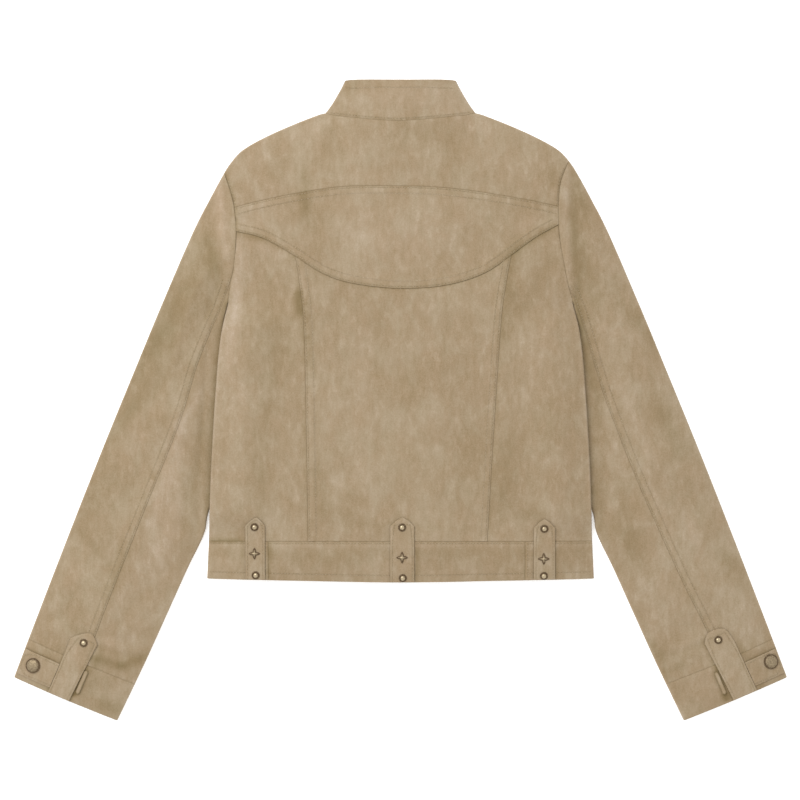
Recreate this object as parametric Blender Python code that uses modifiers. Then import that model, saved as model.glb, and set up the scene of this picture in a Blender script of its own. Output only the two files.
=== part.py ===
"""Suede jacket laid flat on a surface, with its back uppermost.

Every piece of cloth is a wall of its real thickness. A piece is drawn in plan between its own
seams and edges, then raised: the upper layer is a low dome that turns over at the folded edges,
the lower layer lies flat on the surface. Lengths are in millimetres until a mesh is made.

Plan: x runs across the jacket (+x is the right of the laid-out back), y runs up to the collar.
Rows of most tables give the distance out from the centre line, so they serve both sides.
"""

import math

import bmesh
import bpy
from mathutils import Vector
from mathutils.bvhtree import BVHTree

MM = 0.001
COLLECTION = "suede_jacket"
SIDES = {"left": -1, "right": 1}

# Cloth
WALL = 1.5  # suede with its backing
BAND_WALL = 2.0  # collar, hem band and cuffs: suede folded double
TRIM_WALL = 1.6  # tabs and straps
SEAM_GAP = 0.3
CORNER_SLACK = 0.02  # edges of a piece meet at its corners within this
FOLD_RADIUS = 3.2  # outside of the cloth where it turns over at an edge
FOLD_GAP = 0.5  # between upper and lower layer where their seam lies in the fold
LOFT = 9.0  # how much the middle of the upper layer stands above its folded edges
LOFT_REACH = 110.0  # distance from an edge at which the full loft is reached
MOUTH_LOFT = 0.6  # share of the loft left at the hem and the cuff ends
MOUTH_REACH = 60.0
RIDGE = 1.0  # seam allowance turned towards the sleeve along the armhole
RIDGE_WIDTH = 12.0

# Distances of the grid lines that follow a folded edge, so that its round is smooth
FOLD_LINES = (0.0, 0.5, 1.6, FOLD_RADIUS)
FOLD_POWER = 2.4  # 2 is a round fold, more is a pressed one
LEAST_CORNER = 0.35  # sine of the narrowest corner at which a surface tells its own direction
ACROSS_SEAM = 0.7  # a wall that leans further towards its seam than this is left as it is
SHARP_ANGLE = 50.0  # degrees between faces that are shaded as an edge

# Where the body lies over a sleeve, its edge is lifted by the sleeve's folded edge
LIFT = 2 * FOLD_RADIUS + 0.6
LIFT_TOP = 81.5  # the lift is full from here ...
LIFT_BOTTOM = -126.0  # ... down to here
LIFT_TOP_RUN = 28.0
LIFT_BOTTOM_RUN = 34.0
LIFT_WIDTH = 29.0
LIFT_RUN = 52.0

COVER_MARGIN = 10.0  # the sleeve stays low this far outside the body's edge

# Outlines, one side: (out, y)
SHOULDER_AND_SLEEVE = (
    (86.5, 331.0),
    (96.0, 328.5),
    (129.0, 315.5),
    (159.5, 301.5),
    (182.5, 288.0),
    (195.5, 274.0),
    (204.5, 260.0),
    (219.5, 232.5),
    (240.5, 191.0),
    (276.0, 108.5),
    (299.0, 53.0),
    (344.0, -57.0),
    (387.5, -167.5),
    (430.0, -278.0),
    (445.5, -319.0),
)
COLLAR_SIDE = ((64.5, 366.0), (72.0, 353.0), (79.5, 340.5), (86.5, 331.0))
BODY_SIDE = (
    (199.5, 109.5),
    (205.5, 81.0),
    (209.5, 51.0),
    (212.5, 13.0),
    (215.0, -24.0),
    (218.0, -80.0),
    (220.0, -136.5),
    (221.0, -162.0),
    (223.0, -205.5),
)
SLEEVE_INNER = (
    (200.0, 109.5),
    (206.2, 81.0),
    (203.0, 50.0),
    (196.0, 10.0),
    (192.5, -30.0),
    (198.5, -75.0),
    (220.6, -127.0),
    (226.5, -154.0),
    (246.0, -195.0),
    (271.0, -250.5),
    (296.0, -305.5),
    (326.5, -369.0),
)

# Armholes: (out, y), from below the shoulder fold down towards the underarm
ARMHOLE_TOP_Y = {"left": 262.0, "right": 276.0}
ARMHOLE = {
    "left": (
        (196.5, 242.0),
        (191.5, 222.0),
        (189.0, 193.5),
        (191.0, 160.0),
        (195.5, 135.0),
    ),
    "right": (
        (188.0, 262.0),
        (183.5, 247.0),
        (181.3, 222.5),
        (182.0, 196.0),
        (184.5, 175.0),
        (188.5, 154.0),
        (193.0, 132.0),
    ),
}

# Heights at which the armhole bends, and where the pieces either side of it have their grid lines
ARMHOLE_BENDS = {
    "left": (242.0, 221.5, 194.0, 170.0, 144.0),
    "right": (249.0, 222.5, 202.0, 170.0, 132.0),
}

# Seams across the back, left to right: (x, y); they end on the armholes
NECK_SEAM = ((-86.5, 331.0), (-72.5, 327.5), (-19.5, 322.0), (12.0, 322.0), (67.5, 327.5), (86.5, 331.0))
UPPER_YOKE_SEAM = (
    (-191.0, 221.5),
    (-166.0, 228.0),
    (-130.5, 235.5),
    (-69.5, 245.0),
    (0.5, 246.0),
    (50.5, 244.0),
    (99.0, 238.0),
    (146.0, 230.0),
    (181.3, 222.5),
)
CURVED_YOKE_SEAM = (
    (-189.0, 194.0),
    (-166.0, 189.0),
    (-147.0, 181.0),
    (-119.0, 164.5),
    (-90.5, 146.5),
    (-60.0, 135.5),
    (-13.0, 129.0),
    (30.0, 129.5),
    (67.0, 135.5),
    (100.0, 148.0),
    (128.0, 167.5),
    (155.0, 187.0),
    (181.6, 202.0),
)
PRINCESS_SEAM = {
    "left": ((-120.5, 165.4), (-115.0, 127.0), (-110.5, 78.5), (-108.0, -34.0), (-106.0, -162.0)),
    "right": ((127.0, 166.8), (118.5, 118.5), (114.5, 78.5), (107.0, -34.0), (99.5, -162.0)),
}
HEM_SEAM_Y = -162.0
HEM_EDGE = ((-223.0, -205.5), (-120.0, -207.5), (0.0, -209.5), (120.0, -207.5), (223.0, -205.5))
BAND_SEAM_X = {"left": -152.0, "right": 143.0}

# Front, hidden under the back
FRONT_NECK_DIP = 34.0  # the front neckline lies this much below the neck points
FRONT_EDGE_X = 0.5  # each front stops this far from the centre line

# Collar
COLLAR_TOP = ((-64.5, 366.0), (-57.0, 368.9), (0.0, 368.3), (57.0, 368.9), (64.5, 366.0))
FRONT_COLLAR_HEIGHT = 38.0

# Sleeve seams: (out, y)
BACK_SLEEVE_SEAM = {
    "left": (
        (193.6, 144.0),
        (207.0, 106.0),
        (219.0, 79.0),
        (235.0, 38.0),
        (253.5, -24.0),
        (290.0, -116.0),
        (326.0, -206.5),
        (346.0, -258.0),
        (363.0, -302.5),
    ),
    "right": (
        (193.0, 132.0),
        (204.5, 104.0),
        (213.0, 77.0),
        (224.5, 38.0),
        (237.5, -3.0),
        (274.5, -98.0),
        (322.5, -205.0),
        (345.0, -250.0),
        (369.0, -299.7),
    ),
}
FRONT_SLEEVE_SEAM = ((190.0, 170.0), (262.0, -24.0), (368.0, -300.0))
CUFF_SEAM = ((429.0, -275.0), (305.8, -327.0))  # outer fold to inner fold
CUFF_END = ((445.5, -319.0), (326.5, -369.0))
CUFF_SLIT = ((376.0, -297.4), (396.0, -339.8))  # the cuff's opening, under the tab

FOLD_TAPER = 1.6  # a fold dies away from 0.6 to this share of its half length
FOLDS_FROM_EDGE = 30.0  # folds reach their depth this far inside the edges
# Largest folds of the upper layer: side, out, y, direction in degrees, length, width, depth
FOLDS = (
    ("left", 330.0, -275.0, 18.0, 60.0, 11.0, 1.6),
    ("left", 262.0, 30.0, -62.0, 120.0, 16.0, 1.4),
    ("left", 300.0, -90.0, -55.0, 110.0, 18.0, 1.3),
    ("left", 214.0, 215.0, -80.0, 90.0, 9.0, 1.2),
    ("right", 335.0, -262.0, 24.0, 60.0, 12.0, 1.2),
    ("right", 258.0, 45.0, -70.0, 120.0, 16.0, 1.4),
    ("right", 305.0, -80.0, -58.0, 120.0, 18.0, 1.3),
    ("right", 206.0, 205.0, -82.0, 100.0, 9.0, 1.1),
)

# Trims
TRIM_GAP = 0.4  # under each trim
GROUND_REACH = 2.0  # what a trim lies on is felt this far round each of its points
CUFF_TAB = {  # (out, y) of the corners: top, round the point, and down to the cuff end
    "left": {"top": ((380.0, -278.0), (377.0, -272.0), (356.0, -267.5), (348.0, -280.5)),
             "bottom": ((406.5, -338.3), (382.5, -348.4)), "stud": (363.5, -278.5)},
    "right": {"top": ((383.0, -276.0), (371.5, -262.3), (353.5, -266.5), (349.0, -279.0)),
              "bottom": ((411.0, -336.0), (384.0, -347.0)), "stud": (364.5, -275.0)},
}
CUFF_STRAP_INSET = 11.0  # from the cuff seam to the strap
CUFF_STRAP_END = 6.0  # from the strap to the cuff's end
CUFF_STRAP_EDGE = 1.6  # the strap stops this far inside the outer fold
CUFF_STRAP_TO_TAB = 0.4
CUFF_SNAP = {"left": (422.5, -305.0), "right": (426.0, -300.5)}
CUFF_KEEPER = {  # narrow keeper sewn beside the tab: start, end of its middle line
    "left": ((360.8, -312.0), (371.0, -335.5)),
    "right": ((362.4, -313.5), (372.0, -336.0)),
}
KEEPER_WIDTH = 5.0
TAB_ROUND = 0.62  # how far up to its point a hem tab has risen halfway in from its shoulder
TAB_FOOT = 0.4  # from the hem edge up to the foot of the hem tabs
HEM_TABS = {  # x of the tab's middle, half its width, its point, y of its shoulders, its metal
    "left": {"foot_x": -166.8, "half": 11.2, "apex": (-165.5, -134.0), "shoulder_y": -145.0,
             "stud": (-167.5, -145.5), "star": (-167.6, -176.0), "low": (-166.3, -201.0)},
    "centre": {"foot_x": 2.0, "half": 13.8, "apex": (2.5, -134.0), "shoulder_y": -144.5,
               "stud": (1.8, -146.0), "star": (1.8, -180.5), "low": (2.6, -204.2)},
    "right": {"foot_x": 165.3, "half": 12.2, "apex": (165.3, -136.0), "shoulder_y": -146.5,
              "stud": (165.0, -147.5), "star": (164.3, -182.0), "low": (164.6, -201.8)},
}
STUD_RADIUS = 4.7
STUD_RIM = 0.9
STUD_HEIGHT = 2.6
SNAP_RADIUS = 8.6
SNAP_RIM = 1.2
SNAP_HEIGHT = 3.4
STAR_POINT = 6.8
STAR_WAIST = 2.4
STAR_RIM = 0.7
STAR_HEIGHT = 2.2
TURN_STEPS = 14

COLOURS = {  # base colour, roughness, metallic
    "suede": ((0.42, 0.32, 0.21, 1.0), 0.95, 0.0),
    "antique_brass": ((0.34, 0.27, 0.15, 1.0), 0.38, 1.0),
}


# ---------------------------------------------------------------- lines in plan


class Path:
    """A line through points in plan, read by its share of length from 0 to 1."""

    STEPS = 10

    def __init__(self, rows, smooth=True):
        knots = [Vector(row) for row in rows]
        points = [knots[0]]
        for i in range(len(knots) - 1):
            before = knots[max(i - 1, 0)]
            start, end = knots[i], knots[i + 1]
            after = knots[min(i + 2, len(knots) - 1)]
            for step in range(1, self.STEPS + 1):
                t = step / self.STEPS
                bent = smooth_between(before, start, end, after, t)
                points.append(bent if smooth else start.lerp(end, t))
        self.points = points
        self.lengths = [0.0]
        for a, b in zip(points, points[1:]):
            self.lengths.append(self.lengths[-1] + (b - a).length)

    def __call__(self, share):
        along = min(max(share, 0.0), 1.0) * self.lengths[-1]
        for i in range(len(self.points) - 1):
            if along <= self.lengths[i + 1]:
                break
        run = self.lengths[i + 1] - self.lengths[i]
        return self.points[i].lerp(self.points[i + 1], (along - self.lengths[i]) / run)

    def share_at(self, axis, value):
        """Share of length where the line first crosses a value of x (axis 0) or y (axis 1)."""
        for i in range(len(self.points) - 1):
            a, b = self.points[i][axis], self.points[i + 1][axis]
            if min(a, b) <= value <= max(a, b) and a != b:
                along = self.lengths[i] + (value - a) / (b - a) * (self.lengths[i + 1] - self.lengths[i])
                return along / self.lengths[-1]
        raise ValueError(f"the line never reaches {value}")

    def part(self, start, end):
        """The stretch between two shares, as a line of its own."""
        return lambda share: self(start + (end - start) * share)

    def distance(self, point):
        """Shortest way from a point in plan to the line."""
        best = math.inf
        for a, b in zip(self.points, self.points[1:]):
            run = b - a
            t = min(max((point - a).dot(run) / run.length_squared, 0.0), 1.0)
            best = min(best, (point - a - run * t).length_squared)
        return math.sqrt(best)


def smooth_between(before, start, end, after, t):
    """Catmull-Rom curve between two points, shaped by the points either side."""
    return 0.5 * (
        2 * start
        + (end - before) * t
        + (2 * before - 5 * start + 4 * end - after) * t**2
        + (3 * start - before - 3 * end + after) * t**3
    )


def on_side(rows, side):
    """Rows of (out, y) as points on one side of the jacket."""
    return [(SIDES[side] * out, y) for out, y in rows]


def joined(lines, shares):
    """Several lines as one, each covering its own stretch of the shares."""

    def line(share):
        for piece, start, end in zip(lines, shares, shares[1:]):
            if share <= end:
                return piece((share - start) / (end - start))
        return lines[-1](1.0)

    return line


def backwards(line):
    return lambda share: line(1.0 - share)


def chords(line, shares):
    """The line as straight stretches between its points at some shares."""
    knots = [line(share) for share in shares]

    def chord(share):
        for a, b, start, end in zip(knots, knots[1:], shares, shares[1:]):
            if share <= end:
                return a.lerp(b, (share - start) / (end - start))
        return knots[-1]

    return chord


def even_shares(start, end, count):
    return [start + (end - start) * i / count for i in range(count + 1)]


def even(count):
    """Stops that divide a length evenly."""
    return even_shares(0.0, 1.0, count)


# ---------------------------------------------------------------- the jacket's outline

OUTER = {side: Path(on_side(SHOULDER_AND_SLEEVE, side)) for side in SIDES}
ARM_TOP_SHARE = {side: OUTER[side].share_at(1, ARMHOLE_TOP_Y[side]) for side in SIDES}
COLLAR_EDGE = {side: Path(on_side(COLLAR_SIDE, side)) for side in SIDES}
BODY_EDGE = {side: Path(on_side(BODY_SIDE, side)) for side in SIDES}
INNER = {side: Path(on_side(SLEEVE_INNER, side)) for side in SIDES}
UNDERARM_Y = BODY_SIDE[0][1]


def armhole(side, underarm):
    """The armhole in straight stretches, from the shoulder fold down to a point at the underarm."""
    top = tuple(OUTER[side](ARM_TOP_SHARE[side]))
    curve = Path([top] + on_side(ARMHOLE[side], side) + [underarm])
    bends = [tuple(curve(curve.share_at(1, y))) for y in ARMHOLE_BENDS[side]]
    return Path([top] + bends + [underarm], smooth=False)


ARM_SEAM = {side: armhole(side, tuple(BODY_EDGE[side](0.0))) for side in SIDES}
SLEEVE_ARM_SEAM = {side: armhole(side, tuple(INNER[side](0.0))) for side in SIDES}


def ended_on_armholes(rows):
    """Rows of a seam across the back, with its ends moved onto the armholes."""
    seams = zip(ARM_SEAM.values(), (rows[0], rows[-1]))
    left, right = (tuple(seam(seam.share_at(1, row[1]))) for seam, row in seams)
    return [left] + list(rows[1:-1]) + [right]


def ease(value):
    """Smooth step from 0 to 1."""
    t = min(max(value, 0.0), 1.0)
    return t * t * (3 - 2 * t)


def dome(value):
    """Rises from 0 to 1 and flattens out."""
    t = min(max(value, 0.0), 1.0)
    return 1 - (1 - t) ** 3


def body_half_width(y):
    """Distance from the centre line to the body's side edge at a height."""
    rows = BODY_SIDE
    if y >= rows[0][1]:
        return rows[0][0]
    for (out_a, y_a), (out_b, y_b) in zip(rows, rows[1:]):
        if y >= y_b:
            return out_a + (out_b - out_a) * (y_a - y) / (y_a - y_b)
    return rows[-1][0]


def lift(point):
    """How far the sleeve underneath raises the body near its side edge."""
    along = ease((LIFT_TOP + LIFT_TOP_RUN - point.y) / LIFT_TOP_RUN)
    along *= ease((point.y - LIFT_BOTTOM + LIFT_BOTTOM_RUN) / LIFT_BOTTOM_RUN)
    inside = body_half_width(point.y) - abs(point.x)
    return LIFT * along * (1 - ease((inside - LIFT_WIDTH) / LIFT_RUN))


def round_over(distance):
    """Height of the upper layer's turn at a folded edge."""
    inside = 1 - min(distance, FOLD_RADIUS) / FOLD_RADIUS
    return FOLD_RADIUS * (1 + (1 - inside**FOLD_POWER) ** (1 / FOLD_POWER))


def rise(distance):
    """Height of the dome over the folded edges."""
    return LOFT * dome((distance - FOLD_RADIUS) / LOFT_REACH)


def fold_depth(point, side):
    """Soft troughs of the cloth at one side."""
    depth = 0.0
    for fold_side, out, y, degrees, length, width, deep in FOLDS:
        if fold_side != side:
            continue
        away = point - Vector((SIDES[side] * out, y))
        angle = math.radians(degrees)
        course = Vector((SIDES[side] * math.cos(angle), math.sin(angle)))
        along = away.dot(course)
        across = (away - course * along).length
        depth += deep * math.exp(-((across / width) ** 2)) * ease(FOLD_TAPER - 2 * abs(along) / length)
    return depth


def line_distance(point, ends):
    """Distance from a straight line given by its ends."""
    a, b = (Vector(end) for end in ends)
    run = (b - a).normalized()
    away = point - a
    return abs(away.x * run.y - away.y * run.x)


def body_edge(point):
    """Distance from the folded edges of the body and the collar."""
    lines = [line for edges in (OUTER, COLLAR_EDGE, BODY_EDGE) for line in edges.values()]
    return min(line.distance(point) for line in lines)


def body_top(point):
    """Upper surface of the body's upper layer, and of the collar."""
    edge = body_edge(point)
    mouth = MOUTH_LOFT + (1 - MOUTH_LOFT) * dome((point.y - HEM_EDGE[2][1]) / MOUTH_REACH)
    return lift(point) + round_over(edge) + rise(edge) * mouth


def body_bottom(point):
    """Lower surface of the body's lower layer, and of the collar."""
    return lift(point) + 2 * FOLD_RADIUS - round_over(body_edge(point))


def sleeve_edge(point, side):
    return min(OUTER[side].distance(point), INNER[side].distance(point))


def sleeve_top(side):
    def height(point):
        edge = sleeve_edge(point, side)
        free = min(edge, max(BODY_EDGE[side].distance(point) - COVER_MARGIN, 0.0))
        if point.y < UNDERARM_Y and abs(point.x) < body_half_width(point.y):
            free = 0.0
        from_end = line_distance(point, on_side(CUFF_END, side))
        mouth = MOUTH_LOFT + (1 - MOUTH_LOFT) * dome(from_end / MOUTH_REACH)
        turn = round_over(edge)
        shown = turn / FOLD_RADIUS - 1  # 0 at the fold's middle, 1 on top
        ridge = RIDGE * ease(1 - ARM_SEAM[side].distance(point) / RIDGE_WIDTH)
        open_cloth = ease(free / FOLDS_FROM_EDGE)
        return turn + rise(free) * mouth + shown * ridge - open_cloth * fold_depth(point, side)

    return height


def sleeve_bottom(side):
    def height(point):
        return 2 * FOLD_RADIUS - round_over(sleeve_edge(point, side))

    return height


# ---------------------------------------------------------------- pieces in plan


def edge_shares(stops, length, start_fold, end_fold):
    """Shares of a grid's lines along a length: its stops, and more where a folded edge turns."""
    start = [d / length for d in FOLD_LINES[1:]] if start_fold else []
    end = [1 - d / length for d in reversed(FOLD_LINES[1:])] if end_fold else []
    return [0.0] + start + list(stops[1:-1]) + end + [1.0]


class Plan:
    """A four-sided piece in plan, blended from its edges.

    south and north run from west to east, west and east run from south to north. A side named in
    folds is a folded edge of the jacket; a side named in seams keeps half the seam gap.
    """

    def __init__(self, south, north, west, east, folds=(), seams=()):
        self.south, self.north, self.west, self.east = south, north, west, east
        self.folds, self.seams = folds, seams
        for line, share, side_line, side_share in ((south, 0, west, 0), (south, 1, east, 0),
                                                   (north, 0, west, 1), (north, 1, east, 1)):
            apart = (line(share) - side_line(side_share)).length
            if apart > CORNER_SLACK:
                raise ValueError(f"edges of a piece end {apart:.3f} mm apart at {tuple(line(share))}")

    def at(self, u, v):
        across = self.south(u) * (1 - v) + self.north(u) * v
        along = self.west(v) * (1 - u) + self.east(v) * u
        corners = (self.south(0) * (1 - u) + self.south(1) * u) * (1 - v)
        corners += (self.north(0) * (1 - u) + self.north(1) * u) * v
        return across + along - corners

    def grid(self, columns, rows):
        """Rows of points, each running from west to east; columns and rows give the grid's stops."""

        def across(length):
            return edge_shares(columns, length, "west" in self.folds, "east" in self.folds)

        def along(length):
            return edge_shares(rows, length, "south" in self.folds, "north" in self.folds)

        column_count, row_count = len(across(LOFT_REACH)), len(along(LOFT_REACH))
        points = []
        for j in range(row_count):
            line = []
            for i in range(column_count):
                u, v = i / (column_count - 1), j / (row_count - 1)
                for _ in range(3):  # the shares depend a little on each other
                    v = along((self.at(u, 1) - self.at(u, 0)).length)[j]
                    u = across((self.at(1, v) - self.at(0, v)).length)[i]
                line.append(self.at(u, v))
            points.append(line)
        return points, self.open_seams(points)

    def open_seams(self, points):
        """Moves the sides that are seams inwards by half the seam gap, and tells where they face."""
        rows, columns = len(points), len(points[0])
        diagonal, other = points[-1][-1] - points[0][0], points[-1][0] - points[0][-1]
        turn = math.copysign(1.0, diagonal.x * other.y - diagonal.y * other.x)
        sides = {  # grid places, step towards the middle, side of the line on which the piece lies
            "south": ([(0, i) for i in range(columns)], (1, 0), turn),
            "north": ([(rows - 1, i) for i in range(columns)], (-1, 0), -turn),
            "west": ([(j, 0) for j in range(rows)], (0, 1), -turn),
            "east": ([(j, columns - 1) for j in range(rows)], (0, -1), turn),
        }
        shifts, facings = {}, {}
        for side, seam_part in self.seams:
            places, (row_step, column_step), left_hand = sides[side]
            for k, (j, i) in enumerate(places):
                if not seam_part(points[j][i]):
                    continue
                before, after = places[max(k - 1, 0)], places[min(k + 1, len(places) - 1)]
                tangent = (points[after[0]][after[1]] - points[before[0]][before[1]]).normalized()
                normal = Vector((-tangent.y, tangent.x)) * left_hand
                facings.setdefault((j, i), []).append(Vector((normal.x, normal.y, 0.0)))
                depth = len(FOLD_LINES) if side in self.folds else 1
                for n in range(depth):
                    key = (j + n * row_step, i + n * column_step)
                    shifts[key] = shifts.get(key, Vector((0.0, 0.0))) + normal * SEAM_GAP / 2
        for (j, i), shift in shifts.items():
            points[j][i] = points[j][i] + shift
        return facings


def whole(_point):
    """A seam along a whole side."""
    return True


def above_underarm(point):
    """The stretch of a body panel's side that is sewn to the sleeve."""
    return point.y > UNDERARM_Y + SEAM_GAP / 2


def at_neck(point):
    """The stretch of the yoke's top that is sewn to the collar."""
    return abs(point.x) < NECK_SEAM[-1][0] + SEAM_GAP


class Face:
    """Surface points in rows, with the directions of the seams and folds at their rim."""

    def __init__(self, surface, seams, folds, inwards):
        self.surface = surface
        self.seams = seams
        self.folds = folds
        self.inwards = inwards  # by column: the wall grows down (-1), up (1), or either way (0)

    def flipped(self):
        """The same face with its rows running the other way."""
        last = len(self.surface[0]) - 1
        return Face(
            [list(reversed(line)) for line in self.surface],
            {(j, last - i): normals for (j, i), normals in self.seams.items()},
            {(j, last - i) for j, i in self.folds},
            list(reversed(self.inwards)),
        )

    def followed_by(self, other):
        """This face and the next one round the fold, as one."""
        shift = len(self.surface[0]) - 1
        seams = dict(self.seams)
        seams.update({(j, i + shift): normals for (j, i), normals in other.seams.items()})
        surface = [line + more[1:] for line, more in zip(self.surface, other.surface)]
        return Face(surface, seams, set(), self.inwards[:-1] + [0] + other.inwards[1:])


def raised(grid, height, upper):
    """A plan piece with its heights, in the upper or the lower layer."""
    points, seams = grid
    surface = [[Vector((p.x, p.y, height(p))) for p in line] for line in points]
    return Face(surface, seams, set(), [-1 if upper else 1] * len(points[0]))


# ---------------------------------------------------------------- meshes


def material(name):
    found = bpy.data.materials.get(name)
    if found:
        return found
    made = bpy.data.materials.new(name)
    made.use_nodes = True
    shader = made.node_tree.nodes["Principled BSDF"]
    colour, roughness, metallic = COLOURS[name]
    shader.inputs["Base Color"].default_value = colour
    shader.inputs["Roughness"].default_value = roughness
    shader.inputs["Metallic"].default_value = metallic
    made.diffuse_color = colour
    return made


def add_object(name, mesh, material_name):
    mesh.materials.append(material(material_name))
    made = bpy.data.objects.new(name, mesh)
    bpy.data.collections[COLLECTION].objects.link(made)
    return made


def inward_course(face, j, i, facing):
    """Direction of the wall's thickness at one point of its outer face."""
    surface = face.surface
    rows, columns = len(surface), len(surface[0])
    across = surface[j][min(i + 1, columns - 1)] - surface[j][max(i - 1, 0)]
    along = surface[min(j + 1, rows - 1)][i] - surface[max(j - 1, 0)][i]
    course = across.cross(along) * -facing
    if course.length < LEAST_CORNER * across.length * along.length:  # too narrow a corner to tell
        course = Vector((0.0, 0.0, face.inwards[i]))
        if not face.inwards[i] or (j, i) in face.folds:
            course = sum(face.seams.get((j, i), ()), Vector((0.0, 0.0, 0.0)))
    course = course.normalized()
    if course.z * face.inwards[i] < 0:
        course.z = -course.z
    if (j, i) in face.folds:  # the rim of a layer that ends in a fold is level
        course = Vector((course.x, course.y, 0.0)).normalized()
    for normal in face.seams.get((j, i), ()):  # a seam's rim stands along the seam
        away = course.dot(normal)
        if away < ACROSS_SEAM:
            course = (course - normal * away).normalized()
    return course


def sheet(name, face, wall, facing=1):
    """A wall of cloth: a grid thickened from its outer face towards its inner one.

    The outer face looks up where its rows run from left to right, or down if facing is -1.
    """
    surface = face.surface
    rows, columns = len(surface), len(surface[0])
    shape = bmesh.new()
    bmesh.ops.create_grid(shape, x_segments=columns - 1, y_segments=rows - 1, size=0.5)
    thickened = bmesh.ops.extrude_face_region(shape, geom=shape.faces[:])["geom"]
    outer = {item for item in thickened if isinstance(item, bmesh.types.BMVert)}
    for vertex in shape.verts:
        i = round((vertex.co.x + 0.5) * (columns - 1))
        j = round((vertex.co.y + 0.5) * (rows - 1))
        point = surface[j][i]
        if vertex not in outer:
            point = point + inward_course(face, j, i, facing) * wall
        vertex.co = point * MM
    bmesh.ops.recalc_face_normals(shape, faces=shape.faces)
    mesh = bpy.data.meshes.new(name)
    shape.to_mesh(mesh)
    shape.free()
    mesh.shade_smooth()
    mesh.set_sharp_from_angle(angle=math.radians(SHARP_ANGLE))
    return add_object(name, mesh, "suede")


def turned(name, profile, place, lean):
    """A turned piece of metal: a profile of (radius, height) rows spun about its axis."""
    shape = bmesh.new()
    corners = [shape.verts.new((radius * MM, 0.0, height * MM)) for radius, height in profile]
    for a, b in zip(corners, corners[1:]):
        shape.edges.new((a, b))
    mesh = bpy.data.meshes.new(name)
    shape.to_mesh(mesh)
    shape.free()
    made = add_object(name, mesh, "antique_brass")
    spin = made.modifiers.new("turn", "SCREW")
    spin.steps = TURN_STEPS
    spin.render_steps = TURN_STEPS
    spin.use_merge_vertices = True
    spin.merge_threshold = 0.00001
    spin.use_smooth_shade = True
    made.location = place * MM
    made.rotation_mode = "QUATERNION"
    made.rotation_quaternion = lean
    return made


def star(name, place, lean):
    """A four-point star stud: a star outline with a raised middle."""
    shape = bmesh.new()
    ring = bmesh.ops.create_circle(shape, segments=8, radius=1.0, cap_ends=True)["verts"]
    for vertex in ring:
        angle = math.atan2(vertex.co.y, vertex.co.x)
        pointed = abs(math.sin(2 * angle)) < 0.5
        vertex.co = vertex.co.normalized() * (STAR_POINT if pointed else STAR_WAIST) * MM
    face = shape.faces[:]
    body = bmesh.ops.extrude_face_region(shape, geom=face)["geom"]
    upper = [item for item in body if isinstance(item, bmesh.types.BMVert)]
    bmesh.ops.translate(shape, vec=(0.0, 0.0, STAR_RIM * MM), verts=upper)
    top = [item for item in body if isinstance(item, bmesh.types.BMFace)]
    middle = bmesh.ops.poke(shape, faces=top)["verts"]
    bmesh.ops.translate(shape, vec=(0.0, 0.0, (STAR_HEIGHT - STAR_RIM) * MM), verts=middle)
    bmesh.ops.recalc_face_normals(shape, faces=shape.faces)
    mesh = bpy.data.meshes.new(name)
    shape.to_mesh(mesh)
    shape.free()
    made = add_object(name, mesh, "antique_brass")
    made.location = place * MM
    made.rotation_mode = "QUATERNION"
    made.rotation_quaternion = lean
    return made


# ---------------------------------------------------------------- body

YOKE_COLUMNS = (6, 12, 6)  # outside, between and outside the princess seams
NECK_COLUMNS = (8, 16)  # the neck seam lies between these of the yoke's columns
CRESCENT_ROWS = 4
BODY_ROWS = 16
ROWS_BELOW = 18  # below the underarm
UNDERARM_SHARE = 0.77
NECKLINE_BEND = 2  # the neckline starts at the height of this bend of the armhole
NECKLINE_STEPS = 8
FRONT_COLUMNS = 6
BAND_ROWS = 3
BAND_COLUMNS = 14  # of the band's back
BAND_END_COLUMNS = 5  # from the band's seam to the side edge
BAND_FRONT_COLUMNS = 9  # from the side edge to the centre front


def yoke_shares(curved):
    """Shares of the yokes' grid lines, which meet the princess seams."""
    left = curved.share_at(0, PRINCESS_SEAM["left"][0][0])
    right = curved.share_at(0, PRINCESS_SEAM["right"][0][0])
    outer, middle, _ = YOKE_COLUMNS
    return (
        even_shares(0.0, left, outer)
        + even_shares(left, right, middle)[1:]
        + even_shares(right, 1.0, outer)[1:]
    )


def arm_part(side, low_y, high_y):
    """The armhole between two heights, running upwards."""
    seam = ARM_SEAM[side]
    low, high = seam.share_at(1, low_y), seam.share_at(1, high_y)
    return seam.part(low, high)


def arm_stops(side, low_y, high_y):
    """Stops at the armhole's bends between two heights, running upwards."""
    seam = ARM_SEAM[side]
    low, high = seam.share_at(1, low_y), seam.share_at(1, high_y)
    bends = [seam.share_at(1, y) for y in reversed(ARMHOLE_BENDS[side]) if low_y + 1 < y < high_y - 1]
    return [0.0] + [(bend - low) / (high - low) for bend in bends] + [1.0]


def with_halves(stops):
    """Stops with another one in the middle of each stretch."""
    halves = [(a + b) / 2 for a, b in zip(stops, stops[1:])]
    return sorted(list(stops) + halves)


def shoulder(side):
    """The shoulder fold, from the neck point to the armhole."""
    return OUTER[side].part(0.0, ARM_TOP_SHARE[side])


def parted_layer(grid, height, lifted, upper):
    """A piece of the upper or the lower layer, kept clear of the other layer in the fold."""
    face = raised(grid, height, upper)
    for j, line in enumerate(face.surface):
        for i, point in enumerate(line):
            middle = lifted(point.xy) + FOLD_RADIUS
            if upper and point.z < middle + FOLD_GAP:
                point.z = middle + FOLD_GAP / 2
                face.folds.add((j, i))
            elif not upper and point.z > middle - FOLD_GAP:
                point.z = middle - FOLD_GAP / 2
                face.folds.add((j, i))
    return face


def body_layer(grid, upper):
    return parted_layer(grid, body_top if upper else body_bottom, lift, upper)


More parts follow.
